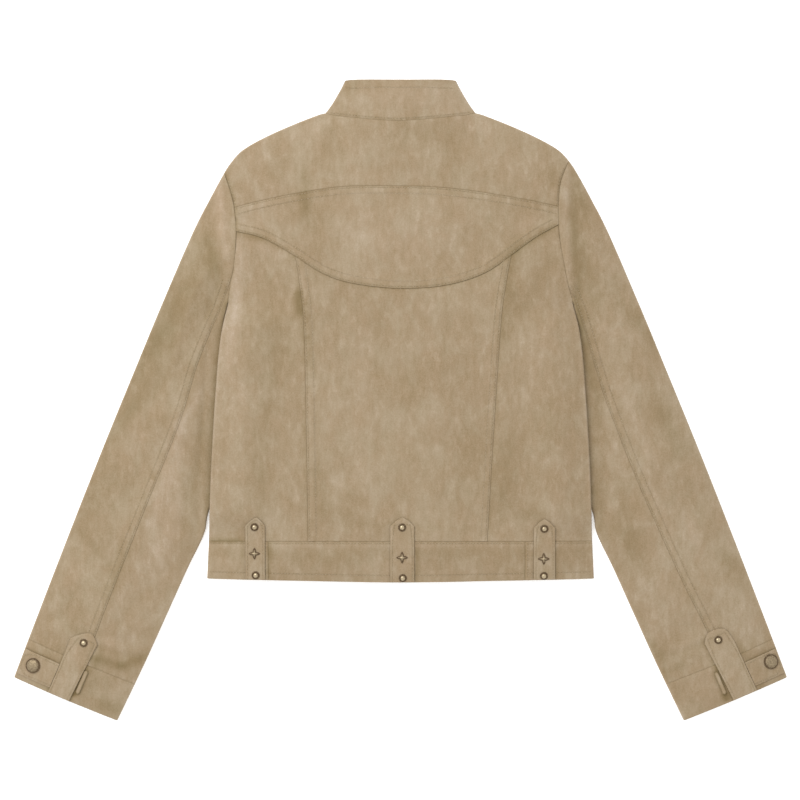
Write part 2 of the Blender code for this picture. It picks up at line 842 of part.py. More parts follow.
def make_back():
    upper = Path(ended_on_armholes(UPPER_YOKE_SEAM))
    curved = Path(ended_on_armholes(CURVED_YOKE_SEAM))
    neck = chords(Path(NECK_SEAM), even(NECK_COLUMNS[1] - NECK_COLUMNS[0]))
    shares = yoke_shares(curved)
    upper, curved = chords(upper, shares), chords(curved, shares)
    neck_start, neck_end = (shares[i] for i in NECK_COLUMNS)

    yoke_north = joined(
        (backwards(shoulder("left")), neck, shoulder("right")),
        (0.0, neck_start, neck_end, 1.0),
    )
    ends = {"left": UPPER_YOKE_SEAM[0][1], "right": UPPER_YOKE_SEAM[-1][1]}
    curved_ends = {"left": CURVED_YOKE_SEAM[0][1], "right": CURVED_YOKE_SEAM[-1][1]}

    yoke = Plan(
        upper,
        yoke_north,
        arm_part("left", ends["left"], ARMHOLE_TOP_Y["left"]),
        arm_part("right", ends["right"], ARMHOLE_TOP_Y["right"]),
        folds=("north",),
        seams=(("south", whole), ("north", at_neck), ("west", whole), ("east", whole)),
    )
    yoke_rows = with_halves(arm_stops("left", ends["left"], ARMHOLE_TOP_Y["left"]))
    sheet("back_yoke_upper", body_layer(yoke.grid(shares, yoke_rows), True), WALL)

    crescent = Plan(
        curved,
        upper,
        arm_part("left", curved_ends["left"], ends["left"]),
        arm_part("right", curved_ends["right"], ends["right"]),
        seams=(("south", whole), ("north", whole), ("west", whole), ("east", whole)),
    )
    sheet("back_yoke_curved", body_layer(crescent.grid(shares, even(CRESCENT_ROWS)), True), WALL)

    half = body_half_width(HEM_SEAM_Y)
    hem = straight((-half, HEM_SEAM_Y), (half, HEM_SEAM_Y))
    outer = YOKE_COLUMNS[0]
    breaks = {"left": shares[outer], "right": shares[-1 - outer]}
    hem_breaks = {side: hem.share_at(0, PRINCESS_SEAM[side][-1][0]) for side in SIDES}
    princess = {side: Path([tuple(curved(breaks[side]))] + list(PRINCESS_SEAM[side][1:])) for side in SIDES}

    def curved_stretch(start, end):
        return lambda share: curved(start + (end - start) * share)

    centre = Plan(
        hem.part(hem_breaks["left"], hem_breaks["right"]),
        curved_stretch(breaks["left"], breaks["right"]),
        backwards(princess["left"]),
        backwards(princess["right"]),
        seams=(("south", whole), ("north", whole), ("west", whole), ("east", whole)),
    )
    sheet("back_centre", body_layer(centre.grid(even(YOKE_COLUMNS[1]), even(BODY_ROWS)), True), WALL)

    for side in SIDES:
        outer_edge = body_side_line(side, curved_ends[side])
        rows = body_row_shares(side, curved_ends[side], False)
        if side == "left":
            panel = Plan(
                hem.part(0.0, hem_breaks[side]),
                curved_stretch(0.0, breaks[side]),
                outer_edge,
                backwards(princess[side]),
                folds=("west",),
                seams=(("south", whole), ("north", whole), ("west", above_underarm), ("east", whole)),
            )
        else:
            panel = Plan(
                hem.part(hem_breaks[side], 1.0),
                curved_stretch(breaks[side], 1.0),
                backwards(princess[side]),
                outer_edge,
                folds=("east",),
                seams=(("south", whole), ("north", whole), ("west", whole), ("east", above_underarm)),
            )
        sheet(f"back_side_{side}", body_layer(panel.grid(even(outer), rows), True), WALL)


def body_row_shares(side, top_y, top_fold):
    """Stops of the grid's rows: even up to the underarm, close together just over it."""
    armhole_part = arm_part(side, UNDERARM_Y, top_y)
    length = (armhole_part(1.0) - armhole_part(0.0)).length
    above = edge_shares(arm_stops(side, UNDERARM_Y, top_y), length, True, top_fold)
    stops = even_shares(0.0, UNDERARM_SHARE, ROWS_BELOW)
    return stops + [UNDERARM_SHARE + (1 - UNDERARM_SHARE) * share for share in above[1:]]


def body_side_line(side, top_y):
    """From the hem seam up the side edge, then up the armhole."""
    edge = BODY_EDGE[side]
    side_part = edge.part(edge.share_at(1, HEM_SEAM_Y), 0.0)
    return joined((side_part, arm_part(side, UNDERARM_Y, top_y)), (0.0, UNDERARM_SHARE, 1.0))


def front_rows(side):
    """Stops of the front's rows, and those of them that lie on the neckline, as shares of it."""
    rows = body_row_shares(side, ARMHOLE_TOP_Y[side], True)
    above = arm_stops(side, UNDERARM_Y, ARMHOLE_TOP_Y[side])
    start = UNDERARM_SHARE + (1 - UNDERARM_SHARE) * above[NECKLINE_BEND]
    on_neck = [(share - start) / (1 - start) for share in rows if share > start - 1e-9]
    return rows, start, on_neck


def front_neck(side):
    """The front neckline, from the centre up to the neck point."""
    sign = SIDES[side]
    out, high = SHOULDER_AND_SLEEVE[0]
    low = high - FRONT_NECK_DIP
    rows = []
    for share in even(NECKLINE_STEPS):
        x = FRONT_EDGE_X + (out - FRONT_EDGE_X) * share
        rows.append((sign * x, low + FRONT_NECK_DIP * (x / out) ** 2))
    return Path(rows)


def make_fronts():
    for side in SIDES:
        sign = SIDES[side]
        hem = straight((sign * body_half_width(HEM_SEAM_Y), HEM_SEAM_Y), (sign * FRONT_EDGE_X, HEM_SEAM_Y))
        rows, neck_row, on_neck = front_rows(side)
        neckline = chords(front_neck(side), on_neck)
        centre_edge = straight((sign * FRONT_EDGE_X, HEM_SEAM_Y), tuple(neckline(0.0)))
        inner = joined((centre_edge, neckline), (0.0, neck_row, 1.0))
        outer = body_side_line(side, ARMHOLE_TOP_Y[side])
        top = backwards(shoulder(side))
        if side == "left":
            panel = Plan(hem, top, outer, inner, folds=("west",),
                         seams=(("south", whole), ("west", above_underarm), ("east", whole)))
        else:
            panel = Plan(backwards(hem), backwards(top), inner, outer, folds=("east",),
                         seams=(("south", whole), ("west", whole), ("east", above_underarm)))
        sheet(f"front_{side}", body_layer(panel.grid(even(FRONT_COLUMNS), rows), False), WALL, facing=-1)


# ---------------------------------------------------------------- bands round a fold

COLLAR_ROWS = 4


def round_strip(name, faces, wall):
    """A band that turns round folded edges: its faces follow each other, west to east."""
    whole_face = faces[0]
    for face in faces[1:]:
        whole_face = whole_face.followed_by(face)
    return sheet(name, whole_face, wall)


def straight(a, b):
    return Path((tuple(a), tuple(b)), smooth=False)


def make_hem_band():
    seam_half = body_half_width(HEM_SEAM_Y)
    seam = straight((-seam_half, HEM_SEAM_Y), (seam_half, HEM_SEAM_Y))
    edge = Path(HEM_EDGE)
    cuts = {side: (edge.share_at(0, x), seam.share_at(0, x)) for side, x in BAND_SEAM_X.items()}
    back = Plan(
        edge.part(cuts["left"][0], cuts["right"][0]),
        seam.part(cuts["left"][1], cuts["right"][1]),
        straight(edge(cuts["left"][0]), seam(cuts["left"][1])),
        straight(edge(cuts["right"][0]), seam(cuts["right"][1])),
        seams=(("north", whole), ("west", whole), ("east", whole)),
    )
    back_grid = back.grid(even(BAND_COLUMNS), even(BAND_ROWS))
    sheet("hem_band_back", raised(back_grid, body_top, True), BAND_WALL)
    for side in SIDES:
        sign = SIDES[side]
        fold_low, fold_high = edge(0.0 if side == "left" else 1.0), seam(0.0 if side == "left" else 1.0)
        fold = straight(fold_low, fold_high)
        cut_low, cut_high = edge(cuts[side][0]), seam(cuts[side][1])
        cut = straight(cut_low, cut_high)
        front_low = Vector((sign * FRONT_EDGE_X, HEM_EDGE[2][1]))
        front_high = Vector((sign * FRONT_EDGE_X, HEM_SEAM_Y))
        front = straight(front_low, front_high)
        low_edge = edge.part(0.0, edge.share_at(0, -FRONT_EDGE_X))
        if side == "right":
            low_edge = edge.part(1.0, edge.share_at(0, FRONT_EDGE_X))
        # seen from the fold: west is the fold, east is the seam
        start, end = (0.0, cuts[side][0]) if side == "left" else (1.0, cuts[side][0])
        upper = Plan(edge.part(start, end), straight(fold_high, cut_high), fold, cut,
                     folds=("west",), seams=(("north", whole), ("east", whole)))
        lower = Plan(low_edge, straight(fold_high, front_high), fold, front,
                     folds=("west",), seams=(("north", whole), ("east", whole)))
        upper_face = raised(upper.grid(even(BAND_END_COLUMNS), even(BAND_ROWS)), body_top, True)
        lower_face = raised(lower.grid(even(BAND_FRONT_COLUMNS), even(BAND_ROWS)), body_bottom, False)
        if side == "left":
            faces = (lower_face.flipped(), upper_face)
        else:
            faces = (upper_face.flipped(), lower_face)
        round_strip(f"hem_band_{side}", faces, BAND_WALL)


def make_collar():
    stops = even(NECK_COLUMNS[1] - NECK_COLUMNS[0])
    upper = Plan(chords(Path(NECK_SEAM), stops), Path(COLLAR_TOP),
                 backwards(COLLAR_EDGE["left"]), backwards(COLLAR_EDGE["right"]),
                 folds=("west", "east"), seams=(("south", whole),))
    faces = [raised(upper.grid(stops, even(COLLAR_ROWS)), body_top, True)]
    for side in SIDES:
        sign = SIDES[side]
        _, _, on_neck = front_rows(side)
        neckline = chords(front_neck(side), on_neck)  # centre to neck point
        out_top, high = COLLAR_SIDE[0]
        low = neckline(0.0).y + FRONT_COLLAR_HEIGHT
        rows = []
        for share in even(NECKLINE_STEPS):
            x = FRONT_EDGE_X + (out_top - FRONT_EDGE_X) * share
            rows.append((sign * x, low + (high - low) * (x / out_top) ** 2))
        top_edge = Path(rows)
        lower = Plan(backwards(neckline), backwards(top_edge), backwards(COLLAR_EDGE[side]),
                     straight(neckline(0.0), top_edge(0.0)), seams=(("south", whole), ("east", whole)))
        stops = [1.0 - share for share in reversed(on_neck)]
        face = raised(lower.grid(stops, even(COLLAR_ROWS)), body_bottom, False)
        if side == "left":
            faces.insert(0, face.flipped())
        else:
            faces.append(face)
    round_strip("collar", faces, BAND_WALL)


# ---------------------------------------------------------------- sleeves

SLEEVE_ROWS = 20
INNER_COLUMNS = 3
CUFF_COLUMNS = 4  # from the outer or inner fold to the slit
CUFF_LOWER_COLUMNS = 7
CUFF_ROWS = 3


def unlifted(_point):
    """The sleeves lie straight on the surface."""
    return 0.0


def make_sleeve(side):
    """The upper panel has a part in each layer, which meet in its fold; the under panel turns round."""
    arm = SLEEVE_ARM_SEAM[side]
    outer_line = OUTER[side].part(OUTER[side].share_at(1, CUFF_SEAM[0][1]), ARM_TOP_SHARE[side])
    inner_line = INNER[side].part(INNER[side].share_at(1, CUFF_SEAM[1][1]), 0.0)
    cuff_line = straight(outer_line(0.0), inner_line(0.0))
    heights = {"back": sleeve_top(side), "front": sleeve_bottom(side)}
    sewn = (("south", whole), ("north", whole))
    tables = {"back": BACK_SLEEVE_SEAM[side], "front": FRONT_SLEEVE_SEAM}
    inner_faces = {}
    for layer, table in tables.items():
        rows = on_side(table, side)
        at_arm, at_cuff = arm.share_at(1, rows[0][1]), cuff_line.share_at(0, rows[-1][0])
        seam = backwards(Path([tuple(arm(at_arm))] + rows[1:-1] + [tuple(cuff_line(at_cuff))]))
        bends = [arm.share_at(1, y) for y in ARMHOLE_BENDS[side]]
        # each face runs from its fold (west) to its seam (east)
        outer = Plan(cuff_line.part(0.0, at_cuff), arm.part(0.0, at_arm), outer_line, seam,
                     folds=("west",), seams=sewn + (("east", whole),))
        inner = Plan(cuff_line.part(1.0, at_cuff), arm.part(1.0, at_arm), inner_line, seam,
                     folds=("west",), seams=sewn + (("east", whole),))
        outer_stops = [0.0] + [bend / at_arm for bend in bends if bend < at_arm - 1e-6] + [1.0]
        lower_bends = [bend for bend in reversed(bends) if bend > at_arm + 1e-6]
        inner_stops = [0.0] + [(1.0 - bend) / (1.0 - at_arm) for bend in lower_bends] + [1.0]
        if len(inner_stops) < INNER_COLUMNS:
            inner_stops = even(INNER_COLUMNS)
        rows, upper = even(SLEEVE_ROWS), layer == "back"
        outer_face = parted_layer(outer.grid(outer_stops, rows), heights[layer], unlifted, upper)
        if side == "right":
            outer_face = outer_face.flipped()
        sheet(f"sleeve_upper_{layer}_{side}", outer_face, WALL, 1 if upper else -1)
        inner_faces[layer] = raised(inner.grid(inner_stops, rows), heights[layer], upper)
    if side == "left":
        faces = (inner_faces["back"].flipped(), inner_faces["front"])
    else:
        faces = (inner_faces["front"].flipped(), inner_faces["back"])
    round_strip(f"sleeve_under_{side}", faces, WALL)
    make_cuff(side, cuff_line)


def make_cuff(side, cuff_line):
    """The cuff goes once round the sleeve's end and opens under its tab."""
    outer = OUTER[side].part(1.0, OUTER[side].share_at(1, CUFF_SEAM[0][1]))
    inner = INNER[side].part(1.0, INNER[side].share_at(1, CUFF_SEAM[1][1]))
    end_line = straight(outer(0.0), inner(0.0))
    slit_high = on_side(CUFF_SLIT, side)[0]
    slit_low = on_side(CUFF_SLIT, side)[1]
    at_seam = cuff_line.share_at(0, slit_high[0])
    at_end = end_line.share_at(0, slit_low[0])
    slit = straight(end_line(at_end), cuff_line(at_seam))
    top, bottom = sleeve_top(side), sleeve_bottom(side)
    outer_upper = Plan(end_line.part(0.0, at_end), cuff_line.part(0.0, at_seam), outer, slit,
                       folds=("west",), seams=(("north", whole), ("east", whole)))
    lower = Plan(end_line, cuff_line, outer, inner, folds=("west", "east"), seams=(("north", whole),))
    inner_upper = Plan(end_line.part(1.0, at_end), cuff_line.part(1.0, at_seam), inner, slit,
                       folds=("west",), seams=(("north", whole), ("east", whole)))
    rows = even(CUFF_ROWS)
    outer_face = raised(outer_upper.grid(even(CUFF_COLUMNS), rows), top, True)
    lower_face = raised(lower.grid(even(CUFF_LOWER_COLUMNS), rows), bottom, False)
    inner_face = raised(inner_upper.grid(even(CUFF_COLUMNS), rows), top, True)
    # from the slit to one fold, under the sleeve to the other fold, and back to the slit
    if side == "left":
        faces = (inner_face.flipped(), lower_face.flipped(), outer_face)
    else:
        faces = (outer_face.flipped(), lower_face, inner_face)
    round_strip(f"cuff_{side}", faces, BAND_WALL)


# ---------------------------------------------------------------- trims


HEM_TAB_COLUMNS = 6
HEM_TAB_ROWS = 9
CUFF_TAB_COLUMNS = 6
CUFF_TAB_ROWS = 9
STRAP_COLUMNS = 5
KEEPER_ROWS = 3


class Ground:
    """The upper surface of some pieces, read from their meshes."""

    AWAY = [(x, y) for x in (-1, 0, 1) for y in (-1, 0, 1)]
    ABOVE_ALL = 100.0

    def __init__(self, names):
        shape = bmesh.new()
        for name in names:
            shape.from_mesh(bpy.data.objects[name].data)
        self.tree = BVHTree.FromBMesh(shape)
        shape.free()

    def height(self, point):
        """The highest place round a point, so that seams and edges are passed over."""
        found = []
        for x, y in self.AWAY:
            start = Vector((point.x + x * GROUND_REACH, point.y + y * GROUND_REACH, self.ABOVE_ALL)) * MM
            hit = self.tree.ray_cast(start, Vector((0, 0, -1)))[0]
            if hit:
                found.append(hit.z / MM)
        return max(found)

    def seat(self, x, y, radius):
        """Place and lean of a round piece that stands on the surface."""
        middle = Vector((x, y))
        right, left, up, down = (
            self.height(middle + Vector(way) * radius) for way in ((1, 0), (-1, 0), (0, 1), (0, -1))
        )
        normal = Vector((left - right, down - up, 2 * radius)).normalized()
        base = max(self.height(middle), (right + left) / 2, (up + down) / 2)
        return Vector((x, y, base)) + normal * TRIM_GAP, Vector((0, 0, 1)).rotation_difference(normal)


def trim(name, plan, columns, rows, ground, facing=1):
    """A tab or strap that lies on other pieces."""
    points, seams = plan.grid(columns, rows)
    above = TRIM_GAP + TRIM_WALL
    surface = [[Vector((p.x, p.y, ground.height(p) + above)) for p in line] for line in points]
    return sheet(name, Face(surface, seams, set(), [-1] * len(surface[0])), TRIM_WALL, facing)


def stud(name, x, y, ground):
    """A domed stud with a flat rim."""
    place, lean = ground.seat(x, y, STUD_RADIUS)
    dome_radius = STUD_RADIUS - STUD_RIM
    rows = [(0.0, STUD_HEIGHT)]
    for degrees in (35, 62, 90):
        angle = math.radians(degrees)
        rows.append((dome_radius * math.sin(angle), STUD_RIM + (STUD_HEIGHT - STUD_RIM) * math.cos(angle)))
    rows += [(STUD_RADIUS, STUD_RIM / 2), (STUD_RADIUS, 0.0), (0.0, 0.0)]
    turned(name, rows, place, lean)


def snap(name, x, y, ground):
    """The cap of a press fastener: a low dome inside a rolled rim."""
    place, lean = ground.seat(x, y, SNAP_RADIUS)
    dome_radius = SNAP_RADIUS - SNAP_RIM
    rows = [
        (0.0, SNAP_HEIGHT),
        (dome_radius * 0.6, SNAP_HEIGHT * 0.88),
        (dome_radius, SNAP_HEIGHT * 0.6),
        (SNAP_RADIUS - SNAP_RIM / 2, SNAP_HEIGHT * 0.72),
        (SNAP_RADIUS, SNAP_HEIGHT * 0.45),
        (SNAP_RADIUS, 0.0),
        (0.0, 0.0),
    ]
    turned(name, rows, place, lean)


def make_hem_tabs():
    under = [item.name for item in bpy.data.objects if item.name.startswith(("back_", "hem_band_"))]
    ground = Ground(under)
    edge = Path(HEM_EDGE)
    for place, tab in HEM_TABS.items():
        x, half, shoulder_y = tab["foot_x"], tab["half"], tab["shoulder_y"]
        apex = Vector(tab["apex"])
        feet = [edge(edge.share_at(0, x + way * half)) + Vector((0.0, TAB_FOOT)) for way in (-1, 1)]
        shoulders = [Vector((x + way * half, shoulder_y)) for way in (-1, 1)]
        top = [shoulders[0], None, apex, None, shoulders[1]]
        round_y = shoulder_y + (apex.y - shoulder_y) * TAB_ROUND
        for i, corner in ((1, shoulders[0]), (3, shoulders[1])):
            top[i] = Vector(((corner.x + apex.x) / 2, round_y))
        plan = Plan(straight(*feet), chords(lambda share, top=top: top[round(share * 4)], even(4)),
                    straight(feet[0], shoulders[0]), straight(feet[1], shoulders[1]))
        name = f"hem_tab_{place}"
        trim(name, plan, even(HEM_TAB_COLUMNS), even(HEM_TAB_ROWS), ground)
        tab_ground = Ground([name])
        stud(f"hem_stud_upper_{place}", *tab["stud"], tab_ground)
        stud(f"hem_stud_lower_{place}", *tab["low"], tab_ground)
        star(f"hem_star_{place}", *tab_ground.seat(*tab["star"], STAR_WAIST * 1.5))


def shifted(ends, distance):
    """A straight line moved sideways, to the left of its course if the distance is positive."""
    a, b = Vector(ends[0]), Vector(ends[1])
    run = (b - a).normalized()
    move = Vector((-run.y, run.x)) * distance
    return a + move, b + move


def crossing(first, second):
    """Where two straight lines meet, each given by two points."""
    (a, b), (c, d) = first, second
    run, other = b - a, d - c
    share = ((c - a).x * other.y - (c - a).y * other.x) / (run.x * other.y - run.y * other.x)
    return a + run * share


def make_cuff_trims(side):
    sign, facing = SIDES[side], -SIDES[side]
    ground = Ground([f"cuff_{side}", f"sleeve_upper_back_{side}", f"sleeve_under_{side}"])
    tab = CUFF_TAB[side]
    top = [Vector(point) for point in on_side(tab["top"], side)]
    end_line = shifted(on_side(CUFF_END, side), -sign * TAB_FOOT)
    bottom = [Vector(point) for point in on_side(tab["bottom"], side)]
    foot = [crossing(ends, end_line) for ends in ((top[0], bottom[0]), (top[3], bottom[1]))]
    plan = Plan(straight(*foot), chords(lambda share: top[round(share * 3)], even(3)),
                straight(foot[0], top[0]), straight(foot[1], top[3]))
    name = f"cuff_tab_{side}"
    trim(name, plan, even(CUFF_TAB_COLUMNS), even(CUFF_TAB_ROWS), ground, facing)
    stud(f"cuff_stud_{side}", sign * tab["stud"][0], tab["stud"][1], Ground([name]))

    # the strap, between the outer fold and the tab
    upper = shifted(on_side(CUFF_SEAM, side), sign * CUFF_STRAP_INSET)
    lower = shifted(on_side(CUFF_END, side), -sign * CUFF_STRAP_END)
    outer_fold = on_side((SHOULDER_AND_SLEEVE[-1], SHOULDER_AND_SLEEVE[-2]), side)
    fold = shifted(outer_fold, sign * CUFF_STRAP_EDGE)
    beside = shifted((foot[0], top[0]), -sign * CUFF_STRAP_TO_TAB)
    corners = [crossing(row, line) for row in (lower, upper) for line in (fold, beside)]
    plan = Plan(straight(corners[0], corners[1]), straight(corners[2], corners[3]),
                straight(corners[0], corners[2]), straight(corners[1], corners[3]))
    name = f"cuff_strap_{side}"
    trim(name, plan, even(STRAP_COLUMNS), even(STRAP_COLUMNS), ground, facing)
    snap(f"cuff_snap_{side}", sign * CUFF_SNAP[side][0], CUFF_SNAP[side][1], Ground([name]))

    # the keeper
    line = on_side(CUFF_KEEPER[side], side)
    outer, inner = (shifted(line, sign * way * KEEPER_WIDTH / 2) for way in (1, -1))
    plan = Plan(straight(outer[1], inner[1]), straight(outer[0], inner[0]),
                straight(outer[1], outer[0]), straight(inner[1], inner[0]))
    trim(f"cuff_keeper_{side}", plan, even(1), even(KEEPER_ROWS), ground, facing)


# ---------------------------------------------------------------- scene


def clear_scene():
    for item in list(bpy.data.objects):
        bpy.data.objects.remove(item)
    collection = bpy.data.collections.new(COLLECTION)
    bpy.context.scene.collection.children.link(collection)


def main():
    clear_scene()
    make_back()
    make_fronts()
    make_hem_band()
    make_collar()
    make_hem_tabs()
    for side in SIDES:
        make_sleeve(side)
        make_cuff_trims(side)


main()
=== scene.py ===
"""Suede jacket laid flat on a pale surface, with its back uppermost: the finished look of every piece.

The CAD frame gives the bodies and nodes. Each cloth piece is drawn again in plan from the same outlines
as its solid, with a finer grid, and raised into a thin shell with its seams, creases and puckers. Tabs,
straps, stitches and metal are then seated on that cloth.

Plan lengths are in millimetres: x runs to the right of the laid-out back, y up to the collar, z up from
the surface. Meshes are made in metres.
"""

import math

import bmesh
import bpy
import numpy as np
from bpy.props import FloatProperty, FloatVectorProperty, IntProperty, PointerProperty
from mathutils import Matrix, Vector
from mathutils.bvhtree import BVHTree


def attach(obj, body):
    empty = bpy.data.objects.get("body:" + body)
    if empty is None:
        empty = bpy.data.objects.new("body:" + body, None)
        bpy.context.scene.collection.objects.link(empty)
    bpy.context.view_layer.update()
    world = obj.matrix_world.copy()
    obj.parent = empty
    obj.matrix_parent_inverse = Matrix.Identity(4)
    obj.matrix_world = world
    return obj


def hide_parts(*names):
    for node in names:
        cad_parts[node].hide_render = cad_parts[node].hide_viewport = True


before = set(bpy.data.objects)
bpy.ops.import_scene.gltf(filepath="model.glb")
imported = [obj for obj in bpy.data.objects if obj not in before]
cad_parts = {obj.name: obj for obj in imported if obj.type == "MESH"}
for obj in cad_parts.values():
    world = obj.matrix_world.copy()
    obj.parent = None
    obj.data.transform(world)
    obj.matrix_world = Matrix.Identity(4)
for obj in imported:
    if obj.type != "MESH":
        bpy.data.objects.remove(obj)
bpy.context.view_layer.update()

bl_info = {
    "name": "Suede Jacket",
    "version": (1, 0, 0),
    "blender": (4, 5, 0),
    "location": "View3D > Sidebar > Jacket",
    "description": "Suede jacket laid flat, with its seams, stitching, tabs, straps and metal",
    "category": "Object",
}

MM = 0.001
SIDES = {"left": -1, "right": 1}
END = {"left": 0.0, "right": 1.0}  # share at which a line from left to right reaches a side
FOLD_SIDE = {"left": "west", "right": "east"}

# ---------------------------------------------------------------- the jacket's plan

SEAM_GAP = 0.1
FOLD_RADIUS, FOLD_POWER, FOLD_GAP = 3.2, 2.4, 0.5
LOFT, LOFT_REACH = 9.0, 110.0
MOUTH_LOFT, MOUTH_REACH = 0.6, 60.0
RIDGE, RIDGE_WIDTH = 1.0, 12.0
LIFT = 2 * FOLD_RADIUS + 0.6  # how far the sleeve underneath raises the body
LIFT_TOP, LIFT_TOP_RUN = 81.5, 28.0
LIFT_BOTTOM, LIFT_BOTTOM_RUN = -126.0, 34.0
LIFT_WIDTH, LIFT_RUN = 29.0, 52.0
COVER_MARGIN = 10.0
FOLD_TAPER = 1.6
FOLDS_FROM_EDGE = 30.0
CREASE_BEND = 0.06  # no crease is quite straight

# Grid lines this far from a folded edge, a seam and an open edge
FOLD_LINES = (0.0, 0.25, 0.6, 1.1, 1.7, 2.4, 3.2)
SEAM_LINES = (0.0, 0.45, 1.0, 1.7, 2.6)
OPEN_LINES = (0.0, 0.4, 0.9, 1.6)

# Outlines, one side: (out, y)
SHOULDER_AND_SLEEVE = (
    (86.5, 331), (96, 328.5), (129, 315.5), (159.5, 301.5), (182.5, 288), (195.5, 274), (204.5, 260),
    (219.5, 232.5), (240.5, 191), (276, 108.5), (299, 53), (344, -57), (387.5, -167.5), (430, -278),
    (445.5, -319),
)
COLLAR_SIDE = ((64.5, 366), (72, 353), (79.5, 340.5), (86.5, 331))
BODY_SIDE = (
    (199.5, 109.5), (205.5, 81), (209.5, 51), (212.5, 13), (215, -24), (218, -80), (220, -136.5),
    (221, -162), (223, -205.5),
)
SLEEVE_INNER = (
    (199.6, 109.5), (204.6, 81), (203, 50), (196, 10), (192.5, -30), (198.5, -75), (220.6, -127),
    (226.5, -154), (246, -195), (271, -250.5), (296, -305.5), (326.5, -369),
)
ARMHOLE_TOP_Y = {"left": 262.0, "right": 276.0}
ARMHOLE = {
    "left": ((196.5, 242), (191.5, 222), (189, 193.5), (191, 160), (195.5, 135)),
    "right": ((188, 262), (183.5, 247), (181.3, 222.5), (182, 196), (184.5, 175), (188.5, 154), (193, 132)),
}
UNDERARM_Y = BODY_SIDE[0][1]

# Seams across the back, left to right: (x, y)
NECK_SEAM = ((-86.5, 331), (-72.5, 327.5), (-19.5, 322), (12, 322), (67.5, 327.5), (86.5, 331))
UPPER_YOKE_SEAM = (
    (-191, 221.5), (-166, 228), (-130.5, 235.5), (-69.5, 245), (0.5, 246), (50.5, 244), (99, 238),
    (146, 230), (181.3, 222.5),
)
CURVED_YOKE_SEAM = (
    (-189, 194), (-166, 189), (-147, 181), (-119, 164.5), (-90.5, 146.5), (-60, 135.5), (-13, 129),
    (30, 129.5), (67, 135.5), (100, 148), (128, 167.5), (155, 187), (181.6, 202),
)
PRINCESS_SEAM = {
    "left": ((-120.5, 165.4), (-115, 127), (-110.5, 78.5), (-108, -34), (-106, -162)),
    "right": ((127, 166.8), (118.5, 118.5), (114.5, 78.5), (107, -34), (99.5, -162)),
}
HEM_SEAM_Y = -162.0
HEM_EDGE = ((-223, -205.5), (-120, -207.5), (0, -209.5), (120, -207.5), (223, -205.5))
BAND_SEAM_X = {"left": -152.0, "right": 143.0}
BAND_LIGHT = 4.5  # from the hem seam to the light along the band's top
BAND_DIM = 9.0  # from there to the dimmer middle of the band
FRONT_NECK_DIP, FRONT_EDGE_X, FRONT_COLLAR_HEIGHT = 34.0, 0.5, 38.0
COLLAR_TOP = ((-64.5, 366), (-57, 368.9), (0, 368.3), (57, 368.9), (64.5, 366))
COLLAR_ROW = ((-62, 359), (-30, 359.6), (0, 359.3), (30, 359.6), (62, 359))

# Sleeve seams: (out, y)
BACK_SLEEVE_SEAM = {
    "left": (
        (193.6, 144), (207, 106), (219, 79), (235, 38), (253.5, -24), (290, -116), (326, -206.5),
        (346, -258), (363, -302.5),
    ),
    "right": (
        (193, 132), (204.5, 104), (213, 77), (224.5, 38), (237.5, -3), (274.5, -98), (322.5, -205),
        (345, -250), (369, -299.7),
    ),
}
FRONT_SLEEVE_SEAM = ((190, 170), (262, -24), (368, -300))
CUFF_SEAM = ((429, -275), (305.8, -327))
CUFF_END = ((445.5, -319), (326.5, -369))
CUFF_SLIT = ((376, -297.4), (396, -339.8))

# Largest folds of the sleeves' upper layer: out, y, degrees, length, width, depth
FOLDS = {
    "left": (
        (330, -275, 18, 60, 11, 1.6), (262, 30, -62, 120, 16, 1.4), (300, -90, -55, 110, 18, 1.3),
        (214, 215, -80, 90, 9, 1.2),
    ),
    "right": (
        (335, -262, 24, 60, 12, 1.2), (258, 45, -70, 120, 16, 1.4), (305, -80, -58, 120, 18, 1.3),
        (206, 205, -82, 100, 9, 1.1),
    ),
}
